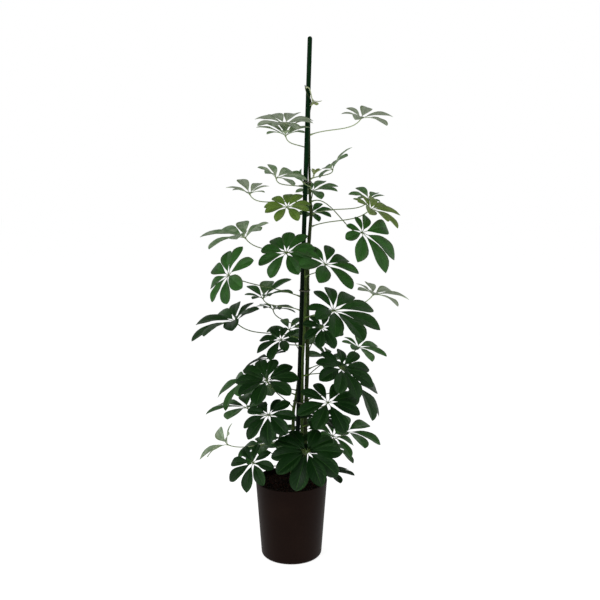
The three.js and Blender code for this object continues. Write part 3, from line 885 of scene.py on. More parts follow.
# The stake's third colour is painted shade for its lower part.
STAKE_COAT = CoatedTube("fine_stake_coating", 0.42, 0.06, *paints("03260c 0d3e1a 041207"))
LEADER_BARK = YoungBark("leader_bark", 0.75, 0.2, *paints("35461a 2c2412"), 0.35)
GREEN_BARK = YoungBark("green_bark", 0.7, 0.2, *paints("465c20 34301a"), 0.2)
TIE_FIBRE = TwistedFibre("fine_tie_cord", 0.9, 0.2, *paints("8e8c7e 3c3a30"))
CLAY = BurntClay("fine_clay_granules", 0.9, 0.2, *paints("43221a 120a08"))
PAPER = StudioPaper("studio_paper", 0.9, 0.05, (0.9, 0.9, 0.9), 0.82)


# ---- meshes --------------------------------------------------------------------------------


def add_object(name: str, data: bpy.types.ID) -> Object:
    """Makes an object at the origin and puts it in the scene.

    Args:
        name: The object's name.
        data: What it holds.

    Returns:
        The object.
    """
    made = bpy.data.objects.new(name, data)
    bpy.context.scene.collection.objects.link(made)
    return made


def add_lines(
    name: str,
    points: list[Vector],
    edges: list[tuple[int, int]],
    attribute: str,
    values: list[float],
) -> Object:
    """Makes an object of lines with a value at each point.

    Args:
        name: The object's name.
        points: The points, in millimetres.
        edges: The two points of each edge.
        attribute: What the value is called.
        values: The value at each point.

    Returns:
        The object.
    """
    mesh = bpy.data.meshes.new(name)
    mesh.from_pydata([tuple(point * MM) for point in points], edges, [])
    mesh.attributes.new(attribute, "FLOAT", "POINT").data.foreach_set("value", values)
    return add_object(name, mesh)


@dataclass
class MeshDraft:
    """Gathers a mesh in millimetres, point by point.

    Attributes:
        points: The points.
        places: Each point's place on the pattern map.
        tones: Each point's tone.
        faces: The faces, as numbers of points.
        slots: Each face's material slot.
    """

    points: list[Vector] = field(default_factory=list)
    places: list[Pair] = field(default_factory=list)
    tones: list[float] = field(default_factory=list)
    faces: list[tuple[int, ...]] = field(default_factory=list)
    slots: list[int] = field(default_factory=list)

    def put(self, point: Vector, place: Pair = (0.5, 0.0), tone: float = 0.5) -> int:
        """Adds a point and returns its number.

        Args:
            point: Where it is.
            place: Its place on the pattern map.
            tone: Its tone.

        Returns:
            Its number.
        """
        self.points.append(point)
        self.places.append(place)
        self.tones.append(tone)
        return len(self.points) - 1

    def face(self, corners: tuple[int, ...], slot: int = 0) -> None:
        """Adds a face."""
        self.faces.append(corners)
        self.slots.append(slot)

    def ring(
        self,
        centre: Vector,
        axes: tuple[Vector, Vector],
        radius: float,
        sides: int,
        place: Pair = (0.5, 0.0),
        tone: float = 0.5,
    ) -> list[int]:
        """Adds a round ring of points.

        Args:
            centre: Its middle.
            axes: The way to its first point, and the way that it turns to from there.
            radius: Its radius.
            sides: How many points it has.
            place: Its place on the pattern map.
            tone: Its tone.

        Returns:
            The points' numbers.
        """
        numbers = []
        for k in range(sides):
            angle = math.tau * k / sides
            spoke = axes[0] * math.cos(angle) + axes[1] * math.sin(angle)
            numbers.append(self.put(centre + spoke * radius, place, tone))
        return numbers

    def skin(self, rings: list[list[int]], slots: list[int]) -> None:
        """Joins closed rings that turn left about the way from the first to the last.

        Args:
            rings: Points of each ring, the same count in each.
            slots: The slot of each strip round the rings.
        """
        sides = len(rings[0])
        for near, far in zip(rings, rings[1:]):
            for k in range(sides):
                after = (k + 1) % sides
                self.face((near[k], near[after], far[after], far[k]), slots[k])

    def capped(self, rings: list[list[int]], slot: int) -> None:
        """Joins rings and closes both ends with a flat face.

        Args:
            rings: Points of each ring.
            slot: The material slot.
        """
        self.skin(rings, [slot] * len(rings[0]))
        self.face(tuple(reversed(rings[0])), slot)
        self.face(tuple(rings[-1]), slot)

    def pointed(self, rings: list[list[int]], low: float, high: float, tone: float) -> None:
        """Joins rings round +Z and closes them to a point on it.

        Args:
            rings: Points of each ring.
            low: The first point's height.
            high: The last point's height.
            tone: The two points' tone.
        """
        sides = len(rings[0])
        start, end = (self.put(Vector((0, 0, level)), tone=tone) for level in (low, high))
        self.skin(rings, [0] * sides)
        for k in range(sides):
            after = (k + 1) % sides
            self.face((start, rings[0][after], rings[0][k]))
            self.face((end, rings[-1][k], rings[-1][after]))

    def tube(
        self,
        centres: list[Vector],
        radii: list[float],
        sides: int,
        slot: int,
        span: Pair,
        tone: float,
    ) -> None:
        """Adds a closed round tube.

        Args:
            centres: The middle line.
            radii: The radius at each point of the line.
            sides: How many sides the tube has.
            slot: Its material slot.
            span: Places along the pattern map at its two ends.
            tone: Its tone.
        """
        last = len(centres) - 1
        first_way = (centres[1] - centres[0]).normalized()
        across = Vector((0, 1, 0)) if abs(first_way.x) > NEAR_AXIS else Vector((1, 0, 0))
        rings = []
        for i, centre in enumerate(centres):
            way = (centres[min(i + 1, last)] - centres[max(i - 1, 0)]).normalized()
            across = (across - way * across.dot(way)).normalized()
            along = span[0] + (span[1] - span[0]) * i / last
            axes = (across, way.cross(across))
            rings.append(self.ring(centre, axes, radii[i], sides, (0.5, along), tone))
        self.capped(rings, slot)

    def lathe(self, profile: list[Pair], sides: int) -> None:
        """Turns a profile from axis to axis about +Z.

        Args:
            profile: Radius and height of each point, with the solid on its left.
            sides: How many sides the turned shape has.
        """
        axes = (Vector((1, 0, 0)), Vector((0, 1, 0)))
        rings = [self.ring(Vector((0, 0, z)), axes, r, sides) for r, z in profile[1:-1]]
        self.pointed(rings, profile[0][1], profile[-1][1], 0.5)

    def to_object(self, name: str, finishes: tuple[Finish, ...]) -> Object:
        """Makes the mesh and an object that holds it.

        Args:
            name: The object's name.
            finishes: What the slots hold.

        Returns:
            The object, which sits at the origin.
        """
        mesh = bpy.data.meshes.new(name)
        mesh.from_pydata([tuple(point * MM) for point in self.points], [], self.faces)
        for finish in finishes:
            mesh.materials.append(finish.material())
        mesh.polygons.foreach_set("material_index", self.slots)
        mesh.polygons.foreach_set("use_smooth", [True] * len(self.faces))
        corners = np.empty(len(mesh.loops), np.int32)
        mesh.loops.foreach_get("vertex_index", corners)
        pattern = mesh.uv_layers.new(name=PATTERN_MAP)
        pattern.data.foreach_set("uv", np.array(self.places, np.float32)[corners].ravel())
        tone = mesh.attributes.new(TONE, "FLOAT", "POINT")
        tone.data.foreach_set("value", self.tones)
        mesh.update()
        mesh.set_sharp_from_angle(angle=SHARP_ANGLE)
        return add_object(name, mesh)


# ---- geometry nodes ------------------------------------------------------------------------

GEOMETRY = "NodeSocketGeometry"
MATERIAL = "NodeSocketMaterial"
FLOAT = "NodeSocketFloat"
WHOLE = "NodeSocketInt"
VECTOR = "NodeSocketVector"


@dataclass
class Recipe:
    """A geometry tree with named inputs that grows a mesh.

    Attributes:
        name: The tree's name.
        inputs: Each input's name and socket type, apart from Geometry and Finish.
    """

    name: str
    inputs: dict[str, str]

    def tree(self) -> bpy.types.NodeTree:
        """Makes the tree, once.

        Returns:
            The tree.
        """
        made = bpy.data.node_groups.get(self.name)
        if made is None:
            made = bpy.data.node_groups.new(self.name, "GeometryNodeTree")
            given = {"Geometry": GEOMETRY, **self.inputs, "Finish": MATERIAL}
            for name, kind in given.items():
                made.interface.new_socket(name, in_out="INPUT", socket_type=kind)
            made.interface.new_socket("Geometry", in_out="OUTPUT", socket_type=GEOMETRY)
            wiring = Wiring(made)
            grown = self.grow(wiring, wiring.add("NodeGroupInput").outputs)
            wiring.add("NodeGroupOutput", {0: wiring.realized(grown)})
        return made

    def grow(self, wiring: Wiring, given: Any) -> Socket:
        """Builds the tree's own nodes.

        Args:
            wiring: The tree.
            given: The sockets of its inputs, by name.

        Returns:
            The socket of the grown geometry.
        """
        raise NotImplementedError

    def dressed(self, wiring: Wiring, given: Any, shape: Any) -> Socket:
        """Gives a geometry the finish."""
        inputs = {"Geometry": shape, "Material": given["Finish"]}
        return wiring.out("GeometryNodeSetMaterial", inputs)

    def laid_on(self, wiring: Wiring, given: Any, laid: Any) -> Socket:
        """Makes instances plain, dresses them and joins them with the given geometry."""
        dressed = self.dressed(wiring, given, wiring.realized(laid))
        return wiring.join(dressed, given["Geometry"])

    def apply(self, holder: Object, finish: Finish, values: dict[str, Any]) -> None:
        """Grows the mesh of an object and leaves it plain.

        Args:
            holder: The object whose mesh the tree takes in.
            finish: What the grown mesh is dressed in.
            values: A value for each other input.
        """
        tree = self.tree()
        values = {**values, "Finish": finish.material()}
        modifier = holder.modifiers.new(self.name, "NODES")
        modifier.node_group = tree
        for item in tree.interface.items_tree:
            if item.in_out == "INPUT" and item.name in values:
                modifier[item.identifier] = values[item.name]
        bpy.context.view_layer.update()
        grown = holder.evaluated_get(bpy.context.evaluated_depsgraph_get())
        mesh = bpy.data.meshes.new_from_object(grown)
        holder.modifiers.clear()
        holder.data = mesh


@dataclass
class PebbleRecipe(Recipe):
    """Lays loose pebbles over the upward faces of a bed."""

    VARIANTS = 6
    UPWARD = 0.6
    SPACING = 0.62
    DENSITY = 90000.0
    SIZES = (0.34, 0.62)
    LUMP_SCALE = 1.1
    LUMP_SHIFT = (7.3, 3.1)
    LUMP_DEPTH = 0.9
    FLATTENED = (1.0, 0.86, 0.74)
    SEGMENTS = 8
    RINGS = 5

    def grow(self, wiring: Wiring, given: Any) -> Socket:
        """Builds the tree's own nodes.

        Args:
            wiring: The tree.
            given: The sockets of its inputs, by name.

        Returns:
            The socket of the grown geometry.
        """
        size, seed = given["Pebble Size"], given["Seed"]
        upward = wiring.split(wiring.out("GeometryNodeInputNormal"))[2]
        facing = wiring.out(
            "FunctionNodeCompare",
            {0: upward, 1: self.UPWARD},
            data_type="FLOAT",
            operation="GREATER_THAN",
        )
        spots = {
            "Mesh": given["Geometry"],
            "Selection": facing,
            "Distance Min": wiring.math("MULTIPLY", size, self.SPACING),
            "Density Max": self.DENSITY,
            "Seed": seed,
        }
        heap = wiring.add("GeometryNodeJoinGeometry")
        for variant in range(self.VARIANTS):
            wiring.tree.links.new(self.pebble(wiring, variant), heap.inputs[0])
        kind = "FunctionNodeRandomValue"
        turns = {0: (0.0, 0.0, 0.0), 1: (math.tau, math.tau, math.tau), "Seed": seed}
        seeds = [wiring.math("ADD", seed, number) for number in (1.0, 2.0, 3.0)]
        scale = wiring.out(kind, {2: self.SIZES[0], 3: self.SIZES[1], "Seed": seeds[0]}, 1)
        picks = {4: 0, 5: self.VARIANTS - 1, "Seed": seeds[1]}
        laid = wiring.out(
            "GeometryNodeInstanceOnPoints",
            {
                "Points": wiring.out(
                    "GeometryNodeDistributePointsOnFaces", spots, distribute_method="POISSON"
                ),
                "Instance": heap.outputs[0],
                "Pick Instance": True,
                "Instance Index": wiring.out(kind, picks, 2, data_type="INT"),
                "Rotation": wiring.out(kind, turns, data_type="FLOAT_VECTOR"),
                "Scale": wiring.math("MULTIPLY", scale, size),
            },
        )
        shade = wiring.out(kind, {2: 0.0, 3: 1.0, "Seed": seeds[2]}, 1)
        toned = wiring.out(
            "GeometryNodeStoreNamedAttribute",
            {"Geometry": laid, "Name": TONE, "Value": shade},
            data_type="FLOAT",
            domain="INSTANCE",
        )
        return self.laid_on(wiring, given, toned)

    def pebble(self, wiring: Wiring, variant: int) -> Socket:
        """Builds one lumpy pebble of radius 1.

        Args:
            wiring: The tree.
            variant: Which pebble it is.

        Returns:
            The socket of the pebble, as an instance.
        """
        sphere = {"Radius": 1.0, "Segments": self.SEGMENTS, "Rings": self.RINGS}
        ball = wiring.out("GeometryNodeMeshUVSphere", sphere)
        shift = (variant * self.LUMP_SHIFT[0], variant * self.LUMP_SHIFT[1], 0.0)
        shifted = wiring.vector("ADD", wiring.out("GeometryNodeInputPosition"), shift)
        lump = wiring.out("ShaderNodeTexNoise", {"Vector": shifted, "Scale": self.LUMP_SCALE}, 1)
        centred = wiring.vector("SUBTRACT", lump, (0.5, 0.5, 0.5))
        push = wiring.vector("MULTIPLY", centred, (self.LUMP_DEPTH,) * 3)
        flat = wiring.stretched(wiring.moved(ball, push), self.FLATTENED)
        return wiring.out("GeometryNodeGeometryToInstance", {0: wiring.smooth(flat)})


@dataclass
class NubRecipe(Recipe):
    """Sets small nubs in a screw line round an upright rod."""

    DRAWN = (1.0, 1.0, 1.7)
    SEGMENTS = 7
    RINGS = 4

    def grow(self, wiring: Wiring, given: Any) -> Socket:
        """Builds the tree's own nodes.

        Args:
            wiring: The tree.
            given: The sockets of its inputs, by name.

        Returns:
            The socket of the grown geometry.
        """
        line = wiring.out(
            "GeometryNodeMeshLine",
            {"Count": given["Count"], "Start Location": given["Start"], "Offset": given["Rise"]},
        )
        _, outward = wiring.screw(given["Turn"], given["Radius"])
        laid = wiring.out(
            "GeometryNodeInstanceOnPoints",
            {
                "Points": wiring.moved(line, outward),
                "Instance": wiring.ball(given["Nub Size"], self.SEGMENTS, self.RINGS, self.DRAWN),
            },
        )
        return self.laid_on(wiring, given, laid)


@dataclass
class StemRecipe(Recipe):
    """Sweeps a stem along its line, with a leaf scar at every step up its spiral."""

    SIDES = 16
    SCAR = (0.16, 0.72, 0.42)
    SCAR_SEGMENTS = 9
    SCAR_RINGS = 4

    def grow(self, wiring: Wiring, given: Any) -> Socket:
        """Builds the tree's own nodes.

        Args:
            wiring: The tree.
            given: The sockets of its inputs, by name.

        Returns:
            The socket of the grown geometry.
        """
        kind = "GeometryNodeInputNamedAttribute"
        girth = wiring.out(kind, {"Name": "girth"}, data_type="FLOAT")
        line = wiring.out("GeometryNodeMeshToCurve", {"Mesh": given["Geometry"]})
        round_ring = {"Resolution": self.SIDES, "Radius": 1.0}
        swept = wiring.out(
            "GeometryNodeCurveToMesh",
            {
                "Curve": line,
                "Profile Curve": wiring.out("GeometryNodeCurvePrimitiveCircle", round_ring),
                "Fill Caps": True,
                "Scale": girth,
            },
        )
        stops = {"Curve": line, "Length": given["Scar Spacing"]}
        angle, outward = wiring.screw(given["Scar Turn"], girth)
        points = wiring.out("GeometryNodeCurveToPoints", stops, mode="LENGTH")
        laid = wiring.out(
            "GeometryNodeInstanceOnPoints",
            {
                "Points": wiring.moved(points, outward),
                "Instance": wiring.ball(1.0, self.SCAR_SEGMENTS, self.SCAR_RINGS, self.SCAR),
                "Rotation": wiring.out("ShaderNodeCombineXYZ", {2: angle}),
                "Scale": girth,
            },
        )
        plain = wiring.realized(wiring.join(laid, swept))
        return self.dressed(wiring, given, wiring.smooth(plain))


@dataclass
class CordRecipe(Recipe):
    """Twists strands round closed lines and sweeps them."""

    SIDES = 6

    def grow(self, wiring: Wiring, given: Any) -> Socket:
        """Builds the tree's own nodes.

        Args:
            wiring: The tree.
            given: The sockets of its inputs, by name.

        Returns:
            The socket of the grown geometry.
        """
        line = wiring.out("GeometryNodeMeshToCurve", {"Mesh": given["Geometry"]})
        kind = "GeometryNodeInputNamedAttribute"
        phase = wiring.out(kind, {"Name": "phase"}, data_type="FLOAT")
        share = wiring.out("GeometryNodeSplineParameter", output="Factor")
        angle = wiring.math("MULTIPLY_ADD", share, given["Twist"], phase)
        up = wiring.out("ShaderNodeCombineXYZ", {2: 1.0})
        aside = wiring.vector("CROSS_PRODUCT", wiring.out("GeometryNodeInputTangent"), up)
        lift = wiring.scaled(up, wiring.math("SINE", angle))
        push = wiring.scaled(aside, wiring.math("COSINE", angle))
        shift = wiring.scaled(wiring.vector("ADD", lift, push), given["Strand Offset"])
        ring = {"Resolution": self.SIDES, "Radius": given["Strand Radius"]}
        swept = wiring.out(
            "GeometryNodeCurveToMesh",
            {
                "Curve": wiring.moved(line, shift),
                "Profile Curve": wiring.out("GeometryNodeCurvePrimitiveCircle", ring),
            },
        )
        return self.dressed(wiring, given, wiring.smooth(swept))


PEBBLES = PebbleRecipe("lay_pebbles", {"Pebble Size": FLOAT, "Seed": WHOLE})
NUBS = NubRecipe(
    "set_nubs",
    {
        "Count": WHOLE,
        "Start": VECTOR,
        "Rise": VECTOR,
        "Turn": FLOAT,
        "Radius": FLOAT,
        "Nub Size": FLOAT,
    },
)
STEM_GROWTH = StemRecipe("grow_stem", {"Scar Spacing": FLOAT, "Scar Turn": FLOAT})
CORD_TWIST = CordRecipe(
    "twist_cord", {"Twist": FLOAT, "Strand Offset": FLOAT, "Strand Radius": FLOAT}
)


# ---- sub-assemblies ------------------------------------------------------------------------


@dataclass
class SubAssembly:
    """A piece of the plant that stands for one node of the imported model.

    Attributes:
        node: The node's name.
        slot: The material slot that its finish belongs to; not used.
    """

    node: str
    slot: str

    def shape(self) -> Object:
        """Builds the piece's mesh and dresses it."""
        raise NotImplementedError

    def build(self) -> Object:
        """Builds the piece and gives it its place in the frame.

        Returns:
            The finished piece.
        """
        piece = self.shape()
        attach(piece, BODY)
        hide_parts(self.node)
        log.info("%s: %d faces", piece.name, len(piece.data.polygons))
        return piece


def pot_radius(height: float) -> float:
    """Radius of the pot's outside at a height."""
    return POT_BASE_RADIUS + (POT_RIM_RADIUS - POT_BASE_RADIUS) * height / POT_HEIGHT


@dataclass
class Pot(SubAssembly):
    """The moulded pot, turned from one profile.

    Attributes:
        sides: How many sides the turned wall has.
        lip: Radius of the rim's rounding.
        steps: Steps in each rounding.
    """

    sides: int = 128
    lip: float = 1.3
    steps: int = 8

    def arc(
        self, centre: Pair, radius: float, start: float, end: float
    ) -> list[Pair]:
        """Returns the points of an arc, its angles in degrees."""
        angles = np.radians(np.linspace(start, end, self.steps + 1))
        return [(centre[0] + radius * math.cos(a), centre[1] + radius * math.sin(a)) for a in angles]

    def profile(self) -> list[Pair]:
        """Draws the pot's outline.

        Returns:
            Radius and height of each point, from the underside's middle to the inner floor's.
        """
        foot = (pot_radius(POT_FOOT_ROUNDING) - POT_FOOT_ROUNDING, POT_FOOT_ROUNDING)
        outer = (POT_RIM_RADIUS - self.lip, POT_HEIGHT - self.lip)
        inner = (POT_RIM_RADIUS - POT_WALL + self.lip, POT_HEIGHT - self.lip)
        floor_edge = pot_radius(POT_FLOOR) - POT_WALL
        return [
            (0.0, 0.0),
            (foot[0] * 0.5, 0.0),
            *self.arc(foot, POT_FOOT_ROUNDING, -90, 0),
            (pot_radius(POT_HEIGHT / 2), POT_HEIGHT / 2),
            *self.arc(outer, self.lip, 0, 90),
            *self.arc(inner, self.lip, 90, 180),
            (floor_edge, POT_FLOOR),
            (0.0, POT_FLOOR),
        ]

    def shape(self) -> Object:
        """Builds the pot's mesh and dresses it.

        Returns:
            The pot.
        """
        draft = MeshDraft()
        draft.lathe(self.profile(), self.sides)
        return draft.to_object("fine_pot", (POT_PLASTIC,))


@dataclass
class GranuleBed(SubAssembly):
    """The bed of clay granules, with loose pebbles on top.

    Attributes:
        sides: How many sides the bed has.
        rings: Rings in its relief.
        clearance: The gap to the pot's wall.
        pebble: A pebble's usual size.
        seed: What the pebbles' places are drawn from.
    """

    sides: int = 96
    rings: int = 24
    clearance: float = 0.6
    pebble: float = 10.0
    seed: int = 11

    def height(self, radius: float, angle: float) -> float:
        """Returns the bed's height at a place.

        Args:
            radius: Distance from the pot's axis.
            angle: Bearing about it.

        Returns:
            The height.
        """
        x = radius * math.cos(angle)
        y = radius * math.sin(angle)
        humps = math.sin(x / HUMP_SCALE_X + HUMP_SHIFT) * math.cos(y / HUMP_SCALE_Y)
        humps += CROSS_HUMP_SHARE * math.sin((x - y) / CROSS_HUMP_SCALE)
        edge = pot_radius(SOIL_LEVEL) - POT_WALL
        mound = SOIL_MOUND * (1 - (radius / edge) ** 2)
        return SOIL_LEVEL - SOIL_HUMP + SOIL_HUMP * 0.5 * humps + mound

    def shape(self) -> Object:
        """Builds the bed, lays the pebbles and dresses both.

        Returns:
            The bed with its pebbles.
        """
        draft = MeshDraft()
        top_radius = pot_radius(SOIL_LEVEL) - POT_WALL - self.clearance
        bottom_radius = pot_radius(POT_FLOOR) - POT_WALL - self.clearance
        base = POT_FLOOR + self.clearance / 2
        rings = [self.ring(draft, bottom_radius, base)]
        for number in range(self.rings, 0, -1):
            rings.append(self.ring(draft, top_radius * number / self.rings, None))
        draft.pointed(rings, base, self.height(0, 0), 0.0)
        bed = draft.to_object("fine_clay_granules", (CLAY,))
        PEBBLES.apply(bed, CLAY, {"Pebble Size": self.pebble * MM, "Seed": self.seed})
        return bed

    def ring(self, draft: MeshDraft, radius: float, level: float | None) -> list[int]:
        """Adds a ring of points at a level, or on the relief where none is given.

        Args:
            draft: The bed's draft.
            radius: The ring's radius.
            level: Its height, or None.

        Returns:
            The points' numbers.
        """
        numbers = []
        for k in range(self.sides):
            angle = math.tau * k / self.sides
            height = self.height(radius, angle) if level is None else level
            point = Vector((radius * math.cos(angle), radius * math.sin(angle), height))
            numbers.append(draft.put(point, tone=0.0))
        return numbers


def stake_x(height: float) -> float:
    """Returns where the stake's middle is at a height."""
    return STAKE_FOOT_X + STAKE_LEAN * (height - STAKE_REFERENCE_Z)


@dataclass
class Stake(SubAssembly):
    """The coated stake, with nubs that grip the ties.

    Attributes:
        sides: How many sides the stake has.
        steps: Steps in its round top.
        nub: Radius of a nub.
        nub_rise: Height from one nub to the next.
        nub_turn: Turn from one nub to the next, in degrees.
        nub_depth: How deep a nub's middle lies under the stake's skin.
    """

    sides: int = 32
    steps: int = 6
    nub: float = 0.9
    nub_rise: float = 4.6
    nub_turn: float = 96.0
    nub_depth: float = 0.45

    def shape(self) -> Object:
        """Builds the stake upright, then leans it over its foot.

        Returns:
            The stake.
        """
        length = STAKE_TOP - STAKE_BOTTOM
        shoulder = length - STAKE_RADIUS
        dome = [
            (STAKE_RADIUS * math.cos(a), shoulder + STAKE_RADIUS * math.sin(a))
            for a in np.linspace(0, math.pi / 2, self.steps + 1)[:-1]
        ]
        draft = MeshDraft()
        draft.lathe(
            [
                (0.0, 0.0),
                (STAKE_RADIUS * STAKE_POINT_SHARE, 0.0),
                (STAKE_RADIUS, STAKE_POINT_LENGTH),
                *dome,
                (0.0, length),
            ],
            self.sides,
        )
        stake = draft.to_object("fine_stake", (STAKE_COAT,))
        first = SOIL_LEVEL - STAKE_BOTTOM
        NUBS.apply(
            stake,
            STAKE_COAT,
            {
                "Count": int((shoulder - first - self.nub_rise) / self.nub_rise),
                "Start": (0.0, 0.0, first * MM),
                "Rise": (0.0, 0.0, self.nub_rise * MM),
                "Turn": math.radians(self.nub_turn),
                "Radius": (STAKE_RADIUS - self.nub_depth) * MM,
                "Nub Size": self.nub * MM,
            },
        )
        lean = Matrix.Rotation(math.atan(STAKE_LEAN), 4, "Y")
        foot = Vector((stake_x(STAKE_BOTTOM), 0, STAKE_BOTTOM)) * MM
        stake.data.transform(Matrix.Translation(foot) @ lean)
        return stake


def stem_at(name: str, height: float) -> tuple[Vector, float]:
    """Finds a stem's middle and radius at a height.

    Args:
        name: The stem.
        height: The height.

    Returns:
        The middle and the radius.
    """
    path = STEMS[name]
    i = 0
    while i < len(path) - 2 and path[i + 1][2] < height:
        i += 1
    low, high = path[i], path[i + 1]
    share = (height - low[2]) / (high[2] - low[2])
    mixed = [a + (b - a) * share for a, b in zip(low, high)]
    return Vector(mixed[:3]), mixed[3]


@dataclass
class Stem(SubAssembly):
    """One stem, swept along a softened line through its points.

    Attributes:
        bark: The stem's finish.
        step: Height between two points of its line.
        swell: How much it swells and thins along its length, as a share of its radius.
        scar_spacing: Length from one leaf scar to the next.
    """

    bark: YoungBark
    step: float = 8.0
    swell: float = 0.05
    scar_spacing: float = 23.0

    WAVES = (7.0, 19.0)
    TIP = ((0.7, 0.7), (1.0, 0.2))

    def line(self) -> list[tuple[Vector, float]]:
        """Softens the line through the stem's points and rounds its tip.

        Returns:
            Points of the stem's middle line with their radii.
        """
        path = STEMS[self.node]
        bottom, top = path[0][2], path[-1][2]
        count = int((top - bottom) / self.step)
        raw = [stem_at(self.node, bottom + (top - bottom) * i / count) for i in range(count + 1)]
        short, long = self.WAVES
        soft = []
        for i, (centre, radius) in enumerate(raw):
            before = raw[max(i - 1, 0)][0]
            after = raw[min(i + 1, count)][0]
            middle = centre.copy()
            if 0 < i < count:
                middle = (before + centre * 2 + after) / 4
            wave = 1 + self.swell * math.sin(middle.z / short) * math.sin(middle.z / long + bottom)
            soft.append((middle, radius * wave))
        tip, radius = soft[-1]
        for rise, share in self.TIP:
            soft.append((tip + Vector((0, 0, radius * rise)), radius * share))
        return soft

    def shape(self) -> Object:
        """Builds the stem's line and grows the stem along it.

        Returns:
            The stem.
        """
        line = self.line()
        edges = [(i, i + 1) for i in range(len(line) - 1)]
        girths = [radius * MM for _, radius in line]
        stem = add_lines(f"fine_{self.node}", [centre for centre, _ in line], edges, "girth", girths)
        values = {"Scar Spacing": self.scar_spacing * MM, "Scar Turn": GOLDEN_TURN}
        STEM_GROWTH.apply(stem, self.bark, values)
        return stem


@dataclass
class Tie(SubAssembly):
    """A cord tied round the stake and every stem that reaches it.

    Attributes:
        level: The tie's height.
        wraps: How often the cord goes round.
        strands: Strands in the cord.
        twists: Turns of the strands in one wrap.
        points: Points of each wrap.
    """

    level: float
    wraps: int = 2
    strands: int = 3
    twists: int = 26
    points: int = 260

    WRAP_PHASE = 0.15
    STRAND_OFFSET = 0.27
    STRAND_RADIUS = 0.26
    DIRECTIONS = 360
    SHORTEST = 1e-9

    def circles(self) -> list[tuple[Vector, float]]:
        """Gathers what the tie holds.

        Returns:
            The middle and radius of the stake and of each stem.
        """
        held = [(Vector((stake_x(self.level), 0)), STAKE_RADIUS)]
        for name, path in STEMS.items():
            if path[-1][2] >= self.level + TIE_FREE_END:
                centre, radius = stem_at(name, self.level)
                held.append((centre.xy, radius))
        return held

    def loop(self, slack: float) -> list[Vector]:
        """Follows a tight string round what the tie holds.

        Args:
            slack: The string's distance from what it goes round.

        Returns:
            Even points of the closed line, at the tie's level.
        """
        circles = self.circles()
        middle = sum((centre for centre, _ in circles), Vector((0, 0))) / len(circles)
        outline = []
        for angle in np.linspace(0, math.tau, self.DIRECTIONS, endpoint=False):
            way = Vector((math.cos(angle), math.sin(angle)))
            reach = max((centre - middle).dot(way) + radius for centre, radius in circles)
            outline.append((way, reach + slack))
        corners = []
        for (way, reach), (next_way, next_reach) in zip(outline, outline[1:] + outline[:1]):
            cross = way.x * next_way.y - way.y * next_way.x
            x = (reach * next_way.y - next_reach * way.y) / cross
            y = (next_reach * way.x - reach * next_way.x) / cross
            corners.append(Vector((middle.x + x, middle.y + y, self.level)))
        lengths = [0.0]
        for a, b in zip(corners, corners[1:] + corners[:1]):
            lengths.append(lengths[-1] + (b - a).length)
        even = []
        for target in np.linspace(0, lengths[-1], self.points, endpoint=False):
            i = int(np.searchsorted(lengths, target, side="right")) - 1
            share = (target - lengths[i]) / max(lengths[i + 1] - lengths[i], self.SHORTEST)
            even.append(corners[i].lerp(corners[(i + 1) % len(corners)], share))
        return even

    def shape(self) -> Object:
        """Lays the cord's lines and twists its strands round them.

        Returns:
            The tie.
        """
        points = []
        edges = []
        phases = []
        thickness = TIE_HEIGHT / self.wraps
        for wrap in range(self.wraps):
            rise = Vector((0, 0, (wrap - (self.wraps - 1) / 2) * thickness))
            loop = [point + rise for point in self.loop(TIE_SLACK + TIE_THICKNESS / 2)]
            for strand in range(self.strands):
                first = len(points)
                points += loop
                turn = strand / self.strands + wrap * self.WRAP_PHASE
                phases += [math.tau * turn] * len(loop)
                edges += [(first + i, first + (i + 1) % len(loop)) for i in range(len(loop))]
        tie = add_lines(f"fine_{self.node}", points, edges, "phase", phases)
        values = {
            "Twist": math.tau * self.twists,
            "Strand Offset": thickness * self.STRAND_OFFSET * MM,
            "Strand Radius": thickness * self.STRAND_RADIUS * MM,
        }
        CORD_TWIST.apply(tie, TIE_FIBRE, values)
        return tie


